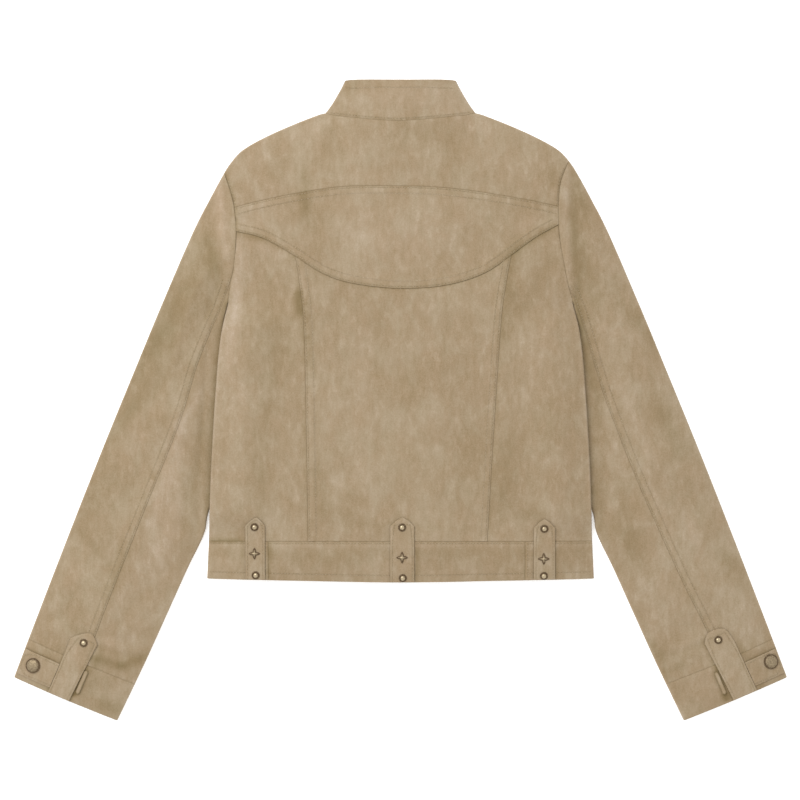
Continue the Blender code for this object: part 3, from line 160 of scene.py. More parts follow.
# Finer creases by place: x, y, degrees, length, width, height (a ridge is above 0, a trough below)
CREASES = {
    "body": (
        (-96, 205, -74, 90, 16, -0.55), (-58, 286, -82, 66, 11, 0.35), (62, 280, -70, 74, 13, -0.4),
        (128, 268, -34, 70, 12, 0.4), (-150, 262, 38, 58, 10, -0.35), (8, 182, 8, 96, 15, 0.3),
        (90, 196, 40, 64, 12, -0.4), (-168, 140, -62, 62, 10, 0.55), (-150, 98, -76, 84, 13, -0.5),
        (156, 130, 60, 66, 11, -0.55), (172, 90, 78, 74, 11, 0.5), (-64, 60, -84, 120, 20, -0.35),
        (38, 20, -88, 140, 22, 0.35), (76, -70, 82, 90, 15, -0.35), (-30, -110, -70, 80, 14, 0.3),
        (-188, 28, -84, 120, 12, 0.45), (-166, -60, -80, 90, 13, -0.4), (150, -20, 86, 110, 14, -0.4),
        (182, -96, 80, 84, 11, 0.4), (-60, -150, 3, 46, 7, 0.35), (60, -151, -4, 52, 7, 0.35),
        (196, -150, -8, 26, 6, 0.3),
    ),
    "left": (
        (-204.5, 206, -84, 116, 5.5, 1.1), (-226, 176, -66, 70, 9, -0.6), (-238, 128, 64, 64, 10, 0.6),
        (-214, 118, 70, 46, 6, -0.8), (-262, 92, 66, 84, 12, -0.6), (-234, -6, 84, 62, 7, 0.6),
        (-222, -40, 82, 70, 7, -0.7), (-312, -40, 58, 90, 13, 0.7), (-286, 10, 50, 60, 10, -0.6),
        (-352, -118, 62, 92, 13, -0.5), (-262, -150, 70, 80, 10, 0.6), (-246, -120, 78, 70, 8, -0.6),
        (-330, -170, 56, 66, 10, 0.55), (-384, -216, 60, 60, 10, 0.5), (-308, -236, 48, 64, 9, -0.6),
        (-322, -291, -17, 56, 5, -0.9), (-334, -281, -20, 50, 5.5, 0.9), (-398, -262, -24, 44, 6, 0.45),
    ),
    "right": (
        (191.5, 190, -88, 132, 6, 1.25), (222, 168, -64, 76, 10, 0.5), (246, 120, -58, 74, 11, -0.6),
        (222, 100, -60, 60, 7, 0.6), (262, 84, -40, 62, 9, 0.55), (230, -20, -80, 72, 8, -0.7),
        (246, -52, -76, 72, 8, 0.6), (312, -30, -60, 90, 13, -0.6), (336, -92, -64, 80, 12, 0.55),
        (262, -128, -72, 76, 10, -0.6), (290, -160, -62, 66, 10, 0.5), (360, -158, -60, 84, 12, -0.5),
        (316, -228, -54, 66, 9, 0.6), (392, -232, -64, 60, 10, 0.45), (330, -286, 22, 52, 5.5, -0.8),
        (340, -276, 24, 46, 5.5, 0.7), (402, -262, 28, 40, 6, 0.4),
    ),
    "hidden": (
        (-150, 220, -60, 90, 12, 0.9), (-70, 120, -80, 140, 14, 0.8), (90, 160, 70, 120, 13, 0.9),
        (150, 40, 84, 130, 12, 0.8), (-140, -40, 78, 110, 13, 0.9), (60, -90, -86, 100, 12, 0.7),
        (-60, -130, 6, 70, 9, 0.6), (-290, -20, 62, 110, 12, 0.9), (-340, -160, 58, 90, 11, 0.8),
        (-250, 100, 66, 80, 10, 0.8), (280, -10, -62, 100, 12, 0.9), (345, -170, -58, 90, 11, 0.8),
        (245, 110, -66, 80, 10, 0.8),
    ),
}
# Besides the nap's own tone, these rows paint shadow beside folds, edges and trims, and highlight on ridges
# Tone of the nap and painted shading by place: x, y, degrees, length, width, tone (above 0 is lighter)
NAP_TONE_AND_PAINTED_SHADING = {
    "body": (
        (-110, 240, -86, 60, 6, -0.13), (-112, 225, -80, 22, 7, -0.1), (-75, 299, 80, 70, 16, -0.06),
        (17, 305, 0, 46, 14, -0.05), (5, 190, 0, 150, 36, 0.05), (-161, 230, 70, 50, 22, 0.06),
        (-152, 172, -28, 36, 6, 0.12), (-172, 188, -12, 34, 4, -0.14), (-205, -161.5, 0, 44, 3, -0.26),
        (-40, 205, 80, 44, 12, 0.03), (60, 240, 86, 120, 7, -0.03), (-25, 60, 88, 90, 6, -0.05),
        (52, 70, 88, 120, 7, -0.04), (-78, 10, 88, 110, 7, 0.04), (-60, -120, 88, 60, 8, -0.05),
        (-160, -110, 86, 80, 6, -0.05), (-148, 20, 86, 90, 6, -0.05), (-189, 115, 84, 150, 7, 0.17),
        (-117, 112, -86, 26, 6, -0.32), (-106, 66, -84, 70, 6, -0.12), (17, 18, 80, 56, 18, -0.07),
        (-47, 29, 88, 130, 13, 0.06), (-58, -86, 20, 40, 15, 0.06), (-93, -103, -80, 60, 9, -0.08),
        (-133, 52, 80, 70, 16, -0.05), (-165, 0, 86, 260, 26, -0.05), (0, -80, 0, 190, 50, -0.03),
        (-185, -46, 85, 130, 16, 0.05), (-24, -143, 2, 60, 5, -0.08), (51, -147, -4, 70, 5, -0.07),
        (149, 182, 32, 54, 5, -0.12), (128, 150, 80, 60, 9, -0.1), (124, 98, 80, 60, 10, -0.1),
        (155, 35, 84, 80, 16, 0.06), (97, 35, 86, 90, 8, 0.06), (172, -28, -80, 60, 14, -0.05),
        (120, -86, 86, 90, 12, -0.1), (149, -132, 10, 36, 8, -0.1), (178, 253, -50, 30, 8, -0.09),
        (149, 205, 30, 30, 9, 0.08), (80, 322, -20, 50, 12, 0.06), (-98, 316, 20, 50, 12, 0.05),
        (-173, 282, 40, 60, 14, 0.05), (-60, 355, 60, 34, 9, -0.07), (22, 351, 0, 90, 14, 0.04),
        (0, 345, 0, 150, 16, 0.05), (-81, -186, 0, 70, 9, -0.07), (-150, -184, 90, 44, 3.5, -0.16),
        (-181, -184, 90, 40, 3, -0.08), (18.5, -190, 90, 38, 3, -0.16), (178.5, -190, 90, 40, 3, -0.12),
    ),
    "left": (
        (-209, 213, -84, 80, 8, 0.12), (-225, 230, 64, 60, 7, 0.06), (-216, 167, -80, 46, 10, -0.12),
        (-254, 110, 57, 120, 14, -0.08), (-290, 40, 64, 300, 34, -0.1), (-340, -170, 66, 180, 24, -0.05),
        (-288, -177, 70, 260, 24, 0.05), (-378, -318, -22, 80, 26, -0.11), (-375, -335, 66, 9, 4.5, -0.4),
        (-288, 58, 62, 60, 12, -0.06), (-311, -14, 62, 36, 8, -0.09), (-305, -57, 62, 40, 12, 0.06),
        (-264, -72, 72, 130, 11, 0.12), (-243, -12, 62, 44, 4, 0.1), (-351, -171, -48, 60, 5, -0.07),
        (-271, -160, 66, 80, 20, 0.05), (-234, -69, 86, 130, 10, -0.12), (-326, -195, 70, 60, 7, -0.09),
        (-389, -236, 66, 44, 10, -0.07), (-339, -300, -18, 46, 6, -0.24), (-305, -300, 20, 36, 6, -0.22),
        (-369, -266, -20, 34, 7, -0.1), (-348, -299, 66, 30, 4, -0.12), (-334, -354, -22, 30, 9, -0.2),
        (-405, -329, -20, 16, 5, -0.15),
    ),
    "right": (
        (208, 234, -74, 44, 5, -0.14), (200, 170, -87, 140, 6, -0.16), (212, 150, -82, 120, 13, -0.12),
        (214, 52, -78, 80, 6, -0.18), (225, -57, -86, 110, 8, -0.07), (227, -126, -80, 50, 7, -0.1),
        (375, -318, 22, 70, 18, 0.05), (374, -341, -66, 9, 4.5, -0.4), (235, 184, -62, 60, 8, 0.05),
        (249, 79, -20, 50, 5, 0.06), (283, 80, -56, 50, 9, -0.12), (330, -90, -66, 80, 9, -0.07),
        (308, -34, -64, 70, 11, -0.08), (270, -23, -66, 120, 6, 0.07), (293, -115, -68, 90, 6, 0.07),
        (333, -149, -68, 40, 8, 0.1), (385, -198, -66, 50, 10, -0.09), (287, -235, -60, 60, 16, 0.05),
        (262, -163, -62, 50, 11, -0.11), (296, -290, -62, 26, 6, -0.16), (310, -310, 20, 40, 5, -0.12),
        (395, -290, -50, 30, 5, -0.12), (410, -324, -50, 22, 5, -0.14), (360, -300, -64, 60, 4, -0.14),
    ),
}
# Slow unevenness of the cloth: wavelength, degrees, phase, height
WAVES = (
    (96, 12, 0.4, 0.22), (71, 78, 2.1, 0.2), (49, 131, 1.2, 0.15), (33, 52, 4, 0.1), (23, 104, 0.9, 0.07),
    (17, 165, 3.3, 0.05),
)

# Tabs, straps and metal
CUFF_TAB = {
    "left": {"top": ((380.0, -278.0), (377.0, -272.0), (356.0, -267.5), (348.0, -280.5)),
             "bottom": ((406.5, -338.3), (382.5, -348.4)), "stud": (363.5, -278.5)},
    "right": {"top": ((383.0, -276.0), (371.5, -262.3), (353.5, -266.5), (349.0, -279.0)),
              "bottom": ((411.0, -336.0), (384.0, -347.0)), "stud": (364.5, -275.0)},
}
CUFF_STRAP_INSET, CUFF_STRAP_END, CUFF_STRAP_EDGE, CUFF_STRAP_TO_TAB = 11.0, 6.0, 1.6, 0.4
STRAP_SHARE = 0.29  # of the cuff seam, from the outer fold to the tab
CUFF_SNAP = {"left": (422.5, -305.0), "right": (426.0, -300.5)}
CUFF_KEEPER = {"left": ((360.8, -312.0), (371.0, -335.5)), "right": ((362.4, -313.5), (372.0, -336.0))}
# The keeper's edge shade is painted shade round its rounded loop
KEEPER_WIDTH, KEEPER_ROUND, KEEPER_SHADE = 4.6, 1.9, 0.40
TAB_ROUND, TAB_FOOT = 0.62, 0.4
TRIM_GAP = 0.3
TRIM_ROW = 2.3  # from a trim's edge to its stitching
HEM_TABS = {
    "left": {"foot_x": -166.8, "half": 11.2, "apex": (-165.5, -134.5), "shoulder_y": -144.0, "round": True,
             "upper": (-167.5, -145.5), "star": (-167.6, -176.0), "lower": (-166.3, -201.0),
             "rests_on": "hem_band_left"},
    "centre": {"foot_x": 2.0, "half": 13.8, "apex": (2.5, -134.0), "shoulder_y": -144.5, "round": False,
               "upper": (1.8, -146.0), "star": (1.8, -180.5), "lower": (2.6, -204.2),
               "rests_on": "hem_band_back"},
    "right": {"foot_x": 165.3, "half": 12.2, "apex": (165.3, -136.0), "shoulder_y": -146.5, "round": False,
              "upper": (165.0, -147.5), "star": (164.3, -182.0), "lower": (164.6, -201.8),
              "rests_on": "hem_band_right"},
}
SLEEVE_NODES = {"upper": ("sleeve_upper_back", "sleeve_upper_front"), "under": ("sleeve_under",)}
# Where in the hide each piece is cut, so that no pattern runs on from piece to piece
HIDE = {
    "back_yoke_upper": 0.1, "back_yoke_curved": 0.35, "back_centre": 0.6, "back_side_left": 0.85,
    "back_side_right": 1.2, "front_left": 1.7, "front_right": 2.1, "hem_band_back": 2.6,
    "hem_band_left": 2.9, "hem_band_right": 3.3, "collar": 3.9, "sleeve_upper_back_left": 4.4,
    "sleeve_under_left": 4.9, "sleeve_upper_back_right": 5.5, "sleeve_under_right": 6.1, "cuff_left": 6.6,
    "cuff_right": 7.2, "hem_tab_left": 8.0, "hem_tab_centre": 9.0, "hem_tab_right": 10.0,
    "cuff_tab_left": 11.0, "cuff_tab_right": 13.0, "cuff_strap_left": 15.0, "cuff_strap_right": 17.0,
    "cuff_keeper_left": 19.0, "cuff_keeper_right": 21.0,
}


# ---------------------------------------------------------------- properties


def size_property(name, description, default, least=0.0):
    """A length in metres."""
    return FloatProperty(name=name, description=description, default=default, min=least, unit="LENGTH")


def share_property(name, description, default):
    """A number from 0 to 1."""
    return FloatProperty(name=name, description=description, default=default, min=0.0, max=1.0,
                         subtype="FACTOR")


def colour_property(name, description, *default):
    return FloatVectorProperty(name=name, description=description, subtype="COLOR", size=4,
                               default=(*default, 1.0))


class JacketCloth(bpy.types.PropertyGroup):
    """Sizes of the cloth"""

    cell: size_property("Cell", "Grid cell of the layer that shows", 0.0026, 0.0015)
    hidden_cell: size_property("Hidden cell", "Grid cell of the layer underneath", 0.0052, 0.003)
    trim_cell: size_property("Trim cell", "Grid cell of tabs and straps", 0.0014, 0.0008)
    wall: size_property("Suede", "Thickness of the suede with its backing", 0.0015, 0.0008)
    band_wall: size_property("Bands", "Thickness of collar, hem band and cuffs", 0.0020, 0.0008)
    trim_wall: size_property("Trims", "Thickness of tabs and straps", 0.0016, 0.0008)
    seam_depth: size_property("Seam depth", "How far the cloth rolls down into a seam", 0.0007)
    seam_reach: size_property("Seam reach", "Width of the roll beside a seam", 0.0026, 0.0005)
    pucker: size_property("Pucker", "Height of the puckers along stitched seams", 0.00022)
    creasing: FloatProperty(name="Creasing", description="Strength of the creases", default=1.0, min=0.0)


class JacketSuede(bpy.types.PropertyGroup):
    """Colours and nap of the suede"""

    tan: colour_property("Tan", "Main colour of the suede", 0.297, 0.227, 0.145)
    shade: colour_property("Shade", "Colour where the nap lies the other way", 0.266, 0.196, 0.118)
    light: colour_property("Light", "Colour of brushed-up patches", 0.345, 0.273, 0.186)
    rose: colour_property("Rose", "Warmer clouds", 0.292, 0.210, 0.128)
    olive: colour_property("Olive", "Greener clouds", 0.300, 0.241, 0.158)
    roughness: share_property("Roughness", "Roughness of the nap", 0.92)
    sheen: share_property("Sheen", "Soft light along the nap's edges", 0.25)
    seam_shade: share_property("Seam shade", "How much seams are darkened", 0.34)


class JacketThread(bpy.types.PropertyGroup):
    """Stitches"""

    length: size_property("Stitch", "Length of a stitch", 0.0027)
    pitch: size_property("Pitch", "From stitch to stitch", 0.0036)
    radius: size_property("Thread", "Radius of the thread", 0.00029)
    colour: colour_property("Thread colour", "Colour of the thread", 0.400, 0.320, 0.215)
    # The thread shade is painted shade between the plies
    shade: colour_property("Thread shade", "Colour between the thread's plies", 0.225, 0.166, 0.100)


class JacketMetal(bpy.types.PropertyGroup):
    """Studs, stars and snaps"""

    stud_radius: size_property("Stud", "Radius of a stud", 0.0047)
    snap_radius: size_property("Snap", "Radius of a snap cap", 0.0086)
    star_point: size_property("Star", "Length of a star's points", 0.0068)
    brass: colour_property("Brass", "Polished antique brass", 0.500, 0.410, 0.270)
    patina: colour_property("Patina", "Dark patina in the recesses", 0.085, 0.050, 0.022)
    turn_steps: IntProperty(name="Steps", description="Steps of the turned pieces", default=40, min=12)


class JacketStage(bpy.types.PropertyGroup):
    """Floor, lights and camera"""

    camera_height: size_property("Camera height", "Camera above the surface", 2.566)
    lens: FloatProperty(name="Lens", description="Focal length in millimetres", default=100.0)
    floor_size: size_property("Floor", "Side of the floor", 6.0)
    floor_colour: colour_property("Floor colour", "Colour of the pale floor", 0.96, 0.96, 0.96)
    floor_glow: FloatProperty(name="Floor glow", description="Light of the floor itself", default=0.35)
    key: FloatProperty(name="Key light", description="Power of the light from the upper left",
                       default=37.0, unit="POWER")
    sky: FloatProperty(name="Sky", description="Strength of the even light all round", default=1.08)


# ---------------------------------------------------------------- lines in plan


def ease(value):
    """Smooth step from 0 to 1."""
    t = np.clip(value, 0.0, 1.0)
    return t * t * (3 - 2 * t)


def dome(value):
    """Rises from 0 to 1 and flattens out."""
    return 1 - (1 - np.clip(value, 0.0, 1.0)) ** 3


def bell(value):
    return np.exp(-(value**2))


def leftward(course):
    """Unit vectors to the left of a course in plan."""
    course = course / np.linalg.norm(course, axis=-1, keepdims=True)
    return np.stack([-course[..., 1], course[..., 0]], -1)


class Path:
    """A line through points in plan, read by its share of length from 0 to 1."""

    STEPS = 10

    def __init__(self, rows, smooth=True):
        knots = np.array([tuple(row) for row in rows], float)
        if smooth:
            segment, last = np.arange(len(knots) - 1), len(knots) - 1
            t = (np.arange(1, self.STEPS + 1) / self.STEPS)[None, :, None]
            before, start, end, after = (knots[np.clip(segment + k, 0, last)][:, None] for k in (-1, 0, 1, 2))
            bent = 0.5 * (2 * start + (end - before) * t + (2 * before - 5 * start + 4 * end - after) * t**2
                          + (3 * start - before - 3 * end + after) * t**3)
            knots = np.vstack([knots[:1], bent.reshape(-1, 2)])
        self.points = knots
        steps = np.linalg.norm(np.diff(knots, axis=0), axis=1)
        self.lengths = np.concatenate([[0.0], np.cumsum(steps)])
        self.length = self.lengths[-1]

    def __call__(self, share):
        along = np.clip(share, 0.0, 1.0) * self.length
        return np.stack([np.interp(along, self.lengths, self.points[:, k]) for k in (0, 1)], -1)

    def share_at(self, axis, value):
        """Share of length where the line first crosses a value of x (axis 0) or y (axis 1)."""
        values = self.points[:, axis]
        low, high = np.minimum(values[:-1], values[1:]), np.maximum(values[:-1], values[1:])
        i = int(np.argmax((low <= value) & (value <= high) & (high > low)))
        part = (value - values[i]) / (values[i + 1] - values[i])
        return float(self.lengths[i] + part * (self.lengths[i + 1] - self.lengths[i])) / self.length

    def part(self, start, end):
        """The stretch between two shares, as a line of its own."""
        return lambda share: self(start + (end - start) * np.asarray(share))

    def nearest(self, points):
        """Distance from each point to the line, and how far along the line that is."""
        best = np.full(points.shape[:-1], np.inf)
        along = np.zeros(points.shape[:-1])
        for a, b, start in zip(self.points[:-1], self.points[1:], self.lengths):
            run = b - a
            length = float(run @ run)
            if length == 0.0:
                continue
            away_x, away_y = points[..., 0] - a[0], points[..., 1] - a[1]
            t = np.clip((away_x * run[0] + away_y * run[1]) / length, 0.0, 1.0)
            apart = (away_x - t * run[0]) ** 2 + (away_y - t * run[1]) ** 2
            closer = apart < best
            best = np.where(closer, apart, best)
            along = np.where(closer, start + t * math.sqrt(length), along)
        return np.sqrt(best), along

    def distance(self, points):
        return self.nearest(points)[0]

    def inside(self, points, hand):
        """Distance within a folded edge, 0 beyond it, and the outward direction there.

        Hand is 1 if outside lies to the left of the line's course, and -1 to the right.
        """
        distance, along = self.nearest(points)
        share, step = along / self.length, 0.5 / self.length
        outward = hand * leftward(self(share + step) - self(share - step))
        beyond = ((self(share) - points) * outward).sum(-1) < 0
        beyond &= (along > 0.01) & (along < self.length - 0.01)
        return np.where(beyond, 0.0, distance), outward

    def beside(self, distance):
        """The line moved sideways, to the left of its course if the distance is positive."""
        return Path(self.points + leftward(np.gradient(self.points, axis=0)) * distance, smooth=False)

    def cut(self, start, end):
        """The stretch between two shares, as a path."""
        return Path(self(np.linspace(start, end, max(8, len(self.points)))), smooth=False)

    def trimmed(self, start, end):
        """The path without its first and last millimetres."""
        return self.cut(start / self.length, 1 - end / self.length)


def straight(a, b):
    return Path((a, b), smooth=False)


def on_side(rows, side):
    """Rows of (out, y) as points on one side of the jacket."""
    return [(SIDES[side] * out, y) for out, y in rows]


def west_east(side, inner, outer):
    """What lies nearer the centre line and what lies further out, in their order from west to east."""
    return (outer, inner) if side == "left" else (inner, outer)


def joined(lines, shares):
    """Several lines as one, each covering its own stretch of the shares."""

    def line(share):
        share = np.asarray(share, float)
        made = lines[0]((share - shares[0]) / (shares[1] - shares[0]))
        for piece, start, end in zip(lines[1:], shares[1:], shares[2:]):
            made = np.where((share > start)[..., None], piece((share - start) / (end - start)), made)
        return made

    return line


def backwards(line):
    return lambda share: line(1.0 - np.asarray(share))


OUTER, COLLAR_EDGE, BODY_EDGE, INNER = (
    {side: Path(on_side(rows, side)) for side in SIDES}
    for rows in (SHOULDER_AND_SLEEVE, COLLAR_SIDE, BODY_SIDE, SLEEVE_INNER))
ARM_TOP_SHARE = {side: OUTER[side].share_at(1, ARMHOLE_TOP_Y[side]) for side in SIDES}
# The armholes of the body and of the sleeves, from the shoulder fold down to the underarm
ARM_SEAM, SLEEVE_ARM_SEAM = (
    {side: Path([OUTER[side](ARM_TOP_SHARE[side]), *on_side(ARMHOLE[side], side), edges[side](0.0)])
     for side in SIDES}
    for edges in (BODY_EDGE, INNER))


def ended_on_armholes(rows):
    """A seam across the back, with its ends moved onto the armholes."""
    ends = zip(ARM_SEAM.values(), (rows[0], rows[-1]))
    left, right = (seam(seam.share_at(1, row[1])) for seam, row in ends)
    return Path([left, *rows[1:-1], right])


UPPER_SEAM, CURVED_SEAM = ended_on_armholes(UPPER_YOKE_SEAM), ended_on_armholes(CURVED_YOKE_SEAM)
PRINCESS_SHARE = {side: CURVED_SEAM.share_at(0, PRINCESS_SEAM[side][0][0]) for side in SIDES}
PRINCESS = {side: Path([CURVED_SEAM(PRINCESS_SHARE[side]), *PRINCESS_SEAM[side][1:]]) for side in SIDES}
NECK, COLLAR_TOP_LINE, HEM_LINE = Path(NECK_SEAM), Path(COLLAR_TOP), Path(HEM_EDGE)


# ---------------------------------------------------------------- heights


def body_half_width(y):
    """Distance from the centre line to the body's side edge at a height."""
    rows = np.array(sorted((y, out) for out, y in BODY_SIDE))
    return np.interp(y, rows[:, 0], rows[:, 1])


HEM_HALF = float(body_half_width(HEM_SEAM_Y))
HEM_SEAM = straight((-HEM_HALF, HEM_SEAM_Y), (HEM_HALF, HEM_SEAM_Y))


def lift(points):
    """How far the sleeve underneath raises the body near its side edge."""
    x, y = points[..., 0], points[..., 1]
    along = ease((LIFT_TOP + LIFT_TOP_RUN - y) / LIFT_TOP_RUN)
    along *= ease((y - LIFT_BOTTOM + LIFT_BOTTOM_RUN) / LIFT_BOTTOM_RUN)
    inside = body_half_width(y) - np.abs(x)
    return LIFT * along * (1 - ease((inside - LIFT_WIDTH) / LIFT_RUN))


def round_over(distance):
    """Height of the upper layer's turn at a folded edge."""
    inside = 1 - np.minimum(distance, FOLD_RADIUS) / FOLD_RADIUS
    return FOLD_RADIUS * (1 + (1 - inside**FOLD_POWER) ** (1 / FOLD_POWER))


def turned_out(edge, outward, way):
    """Direction at right angles to the cloth's turn round a folded edge, as its x, y and z."""
    inside = 1 - np.minimum(edge, FOLD_RADIUS) / FOLD_RADIUS
    level = inside ** (FOLD_POWER - 1)
    plumb = (1 - inside**FOLD_POWER) ** ((FOLD_POWER - 1) / FOLD_POWER)
    size = np.hypot(level, plumb)
    return outward[..., 0] * level / size, outward[..., 1] * level / size, way * plumb / size


def rise(distance):
    """Height of the dome over the folded edges."""
    return LOFT * dome((distance - FOLD_RADIUS) / LOFT_REACH)


def mouth(distance):
    """How much of the dome is left at a distance from an open end."""
    return MOUTH_LOFT + (1 - MOUTH_LOFT) * dome(distance / MOUTH_REACH)


def bumps(points, rows):
    """Sum of long soft ridges and troughs: rows of x, y, degrees, length, width, height."""
    made = np.zeros(points.shape[:-1])
    for x, y, degrees, length, width, height in rows:
        angle = math.radians(degrees)
        away_x, away_y = points[..., 0] - x, points[..., 1] - y
        along = away_x * math.cos(angle) + away_y * math.sin(angle)
        across = away_y * math.cos(angle) - away_x * math.sin(angle)
        bend = across - CREASE_BEND * along**2 / length
        made += height * bell(bend / width) * ease(FOLD_TAPER - 2 * np.abs(along) / length)
    return made


def fold_rows(side):
    """The sleeve's largest folds as rows for bumps."""
    sign = SIDES[side]
    return [(sign * out, y, degrees if sign > 0 else 180 - degrees, length, width, -deep)
            for out, y, degrees, length, width, deep in FOLDS[side]]


def waviness(points):
    made = np.zeros(points.shape[:-1])
    for wavelength, degrees, phase, height in WAVES:
        angle = math.radians(degrees)
        along = points[..., 0] * math.cos(angle) + points[..., 1] * math.sin(angle)
        made += height * np.sin(2 * math.pi * along / wavelength + phase)
    return made


def nearest_fold(points, lines):
    """Distance from the nearest of some folded edges, and the outward direction there."""
    edge, outward = lines[0][0].inside(points, lines[0][1])
    for line, hand in lines[1:]:
        distance, direction = line.inside(points, hand)
        outward = np.where((distance < edge)[..., None], direction, outward)
        edge = np.minimum(edge, distance)
    return edge, outward


def body_fold(points):
    lines = [(edges[side], sign) for edges in (OUTER, COLLAR_EDGE, BODY_EDGE) for side, sign in SIDES.items()]
    return nearest_fold(points, lines)


def body_top(points):
    """Upper surface of the body's upper layer, and its nearest folded edge."""
    edge, outward = body_fold(points)
    loft = rise(edge) * mouth(points[..., 1] - HEM_EDGE[2][1])
    return lift(points) + round_over(edge) + loft, edge, outward


def body_bottom(points):
    """Lower surface of the body's lower layer, and its nearest folded edge."""
    edge, outward = body_fold(points)
    return lift(points) + 2 * FOLD_RADIUS - round_over(edge), edge, outward


def sleeve_fold(points, side):
    return nearest_fold(points, ((OUTER[side], SIDES[side]), (INNER[side], -SIDES[side])))


def sleeve_top(side):
    def height(points):
        edge, outward = sleeve_fold(points, side)
        free = np.minimum(edge, np.maximum(BODY_EDGE[side].distance(points) - COVER_MARGIN, 0.0))
        y = points[..., 1]
        free = np.where((y < UNDERARM_Y) & (np.abs(points[..., 0]) < body_half_width(y)), 0.0, free)
        end, other_end = np.array(on_side(CUFF_END, side))
        from_end = np.abs((points - end) @ leftward(other_end - end))
        turn = round_over(edge)
        ridge = RIDGE * ease(1 - ARM_SEAM[side].distance(points) / RIDGE_WIDTH)
        folds = ease(free / FOLDS_FROM_EDGE) * bumps(points, fold_rows(side))
        z = turn + rise(free) * mouth(from_end) + (turn / FOLD_RADIUS - 1) * ridge + folds
        return z, np.minimum(edge, free + FOLD_RADIUS), outward

    return height


def sleeve_bottom(side):
    def height(points):
        edge, outward = sleeve_fold(points, side)
        return 2 * FOLD_RADIUS - round_over(edge), edge, outward

    return height


# ---------------------------------------------------------------- cloth pieces in plan


def above_underarm(points):
    return points[..., 1] > UNDERARM_Y + SEAM_GAP / 2


def at_neck(points):
    return np.abs(points[..., 0]) < NECK_SEAM[-1][0] + SEAM_GAP


def place_lines(index, length, start, end, cells):
    """Shares of grid lines along a length, close together near both ends."""
    start, end = np.array(start), np.array(end)
    length = np.maximum(length, 1e-6)
    squeeze = np.minimum(1.0, length / (3 * (start[-1] + end[-1])))
    first, last = start[-1] * squeeze, length - end[-1] * squeeze
    inner = np.clip((index - (len(start) - 1)) / cells, 0.0, 1.0)
    made = first + (last - first) * inner
    from_end = len(start) + len(end) + cells - 2 - index
    made = np.where(index < len(start), start[np.minimum(index, len(start) - 1)] * squeeze, made)
    at_end = length - end[np.minimum(from_end, len(end) - 1)] * squeeze
    return np.where(from_end < len(end), at_end, made) / length


class Plan:
    """A four-sided piece in plan, blended from its edges.

    South and north run from west to east, west and east run from south to north. Folds names the sides
    that are folded edges of the jacket. Seams gives each sewn side, which keeps half the seam gap, and
    how deep its seam looks, from 0 to 1. Tests says which points are sewn where a side is sewn in part.
    """

    def __init__(self, south, north, west, east, folds=(), seams=None, tests=None):
        self.sides = {"south": south, "north": north, "west": west, "east": east}
        self.folds, self.seams, self.tests = folds, seams or {}, tests or {}

    def sewn(self, side, points):
        test = self.tests.get(side)
        return test(points) if test else np.ones(points.shape[:-1], bool)

    def at(self, u, v):
        south, north, west, east = self.sides.values()
        across, along = u[..., None], v[..., None]
        made = south(u) * (1 - along) + north(u) * along + west(v) * (1 - across) + east(v) * across
        made -= (south(0.0) * (1 - across) + south(1.0) * across) * (1 - along)
        return made - (north(0.0) * (1 - across) + north(1.0) * across) * along

    def lines(self, side):
        if side in self.folds:
            return FOLD_LINES
        return SEAM_LINES if side in self.seams else OPEN_LINES

    def cells(self, direction, cell):
        """Number of cells that the longest row (across) or column (along) takes."""
        t = np.linspace(0, 1, 9)
        first, second = ("west", "east") if direction == "across" else ("south", "north")
        longest = np.linalg.norm(self.sides[first](t) - self.sides[second](t), axis=-1).max()
        return max(2, math.ceil(longest / cell))

    def grid(self, cell, rows=None):
        """Points in rows that run from west to east."""
        columns, rows = self.cells("across", cell), rows or self.cells("along", cell)
        south, north, west, east = (self.lines(side) for side in self.sides)
        column_lines, row_lines = columns + len(west) + len(east) - 1, rows + len(south) + len(north) - 1
        i, j = np.meshgrid(np.arange(column_lines), np.arange(row_lines))
        u, v = i / (column_lines - 1), j / (row_lines - 1)
        low, high = np.zeros_like(u), np.ones_like(u)
        for _ in range(4):  # the shares depend a little on each other
            tall = np.linalg.norm(self.at(u, high) - self.at(u, low), axis=-1)
            v = place_lines(j, tall, south, north, rows)
            wide = np.linalg.norm(self.at(high, v) - self.at(low, v), axis=-1)
            u = place_lines(i, wide, west, east, columns)
        points = self.at(u, v)
        self.open_seams(points)
        return points

    def open_seams(self, points):
        """Moves the sewn sides inwards by half the seam gap."""
        diagonal, other = points[-1, -1] - points[0, 0], points[-1, 0] - points[0, -1]
        turn = math.copysign(1.0, diagonal[0] * other[1] - diagonal[1] * other[0])
        rims = {"south": (points[0], turn), "north": (points[-1], -turn),
                "west": (points[:, 0], -turn), "east": (points[:, -1], turn)}
        shifts = []
        for side in self.seams:
            rim, hand = rims[side]
            inwards = leftward(np.gradient(rim, axis=0)) * hand
            shifts.append((rim, inwards * np.where(self.sewn(side, rim), SEAM_GAP / 2, 0.0)[:, None]))
        for rim, shift in shifts:
            rim += shift

    def seam_paths(self):
        """The sewn sides as paths, each with how deep it looks."""
        made = []
        for side, strength in self.seams.items():
            points = self.sides[side](np.linspace(0, 1, 61))
            made.append((Path(points[self.sewn(side, points)], smooth=False), strength))
        return made


MARKS = ("seam", "row", "fold", "tone", "hide")


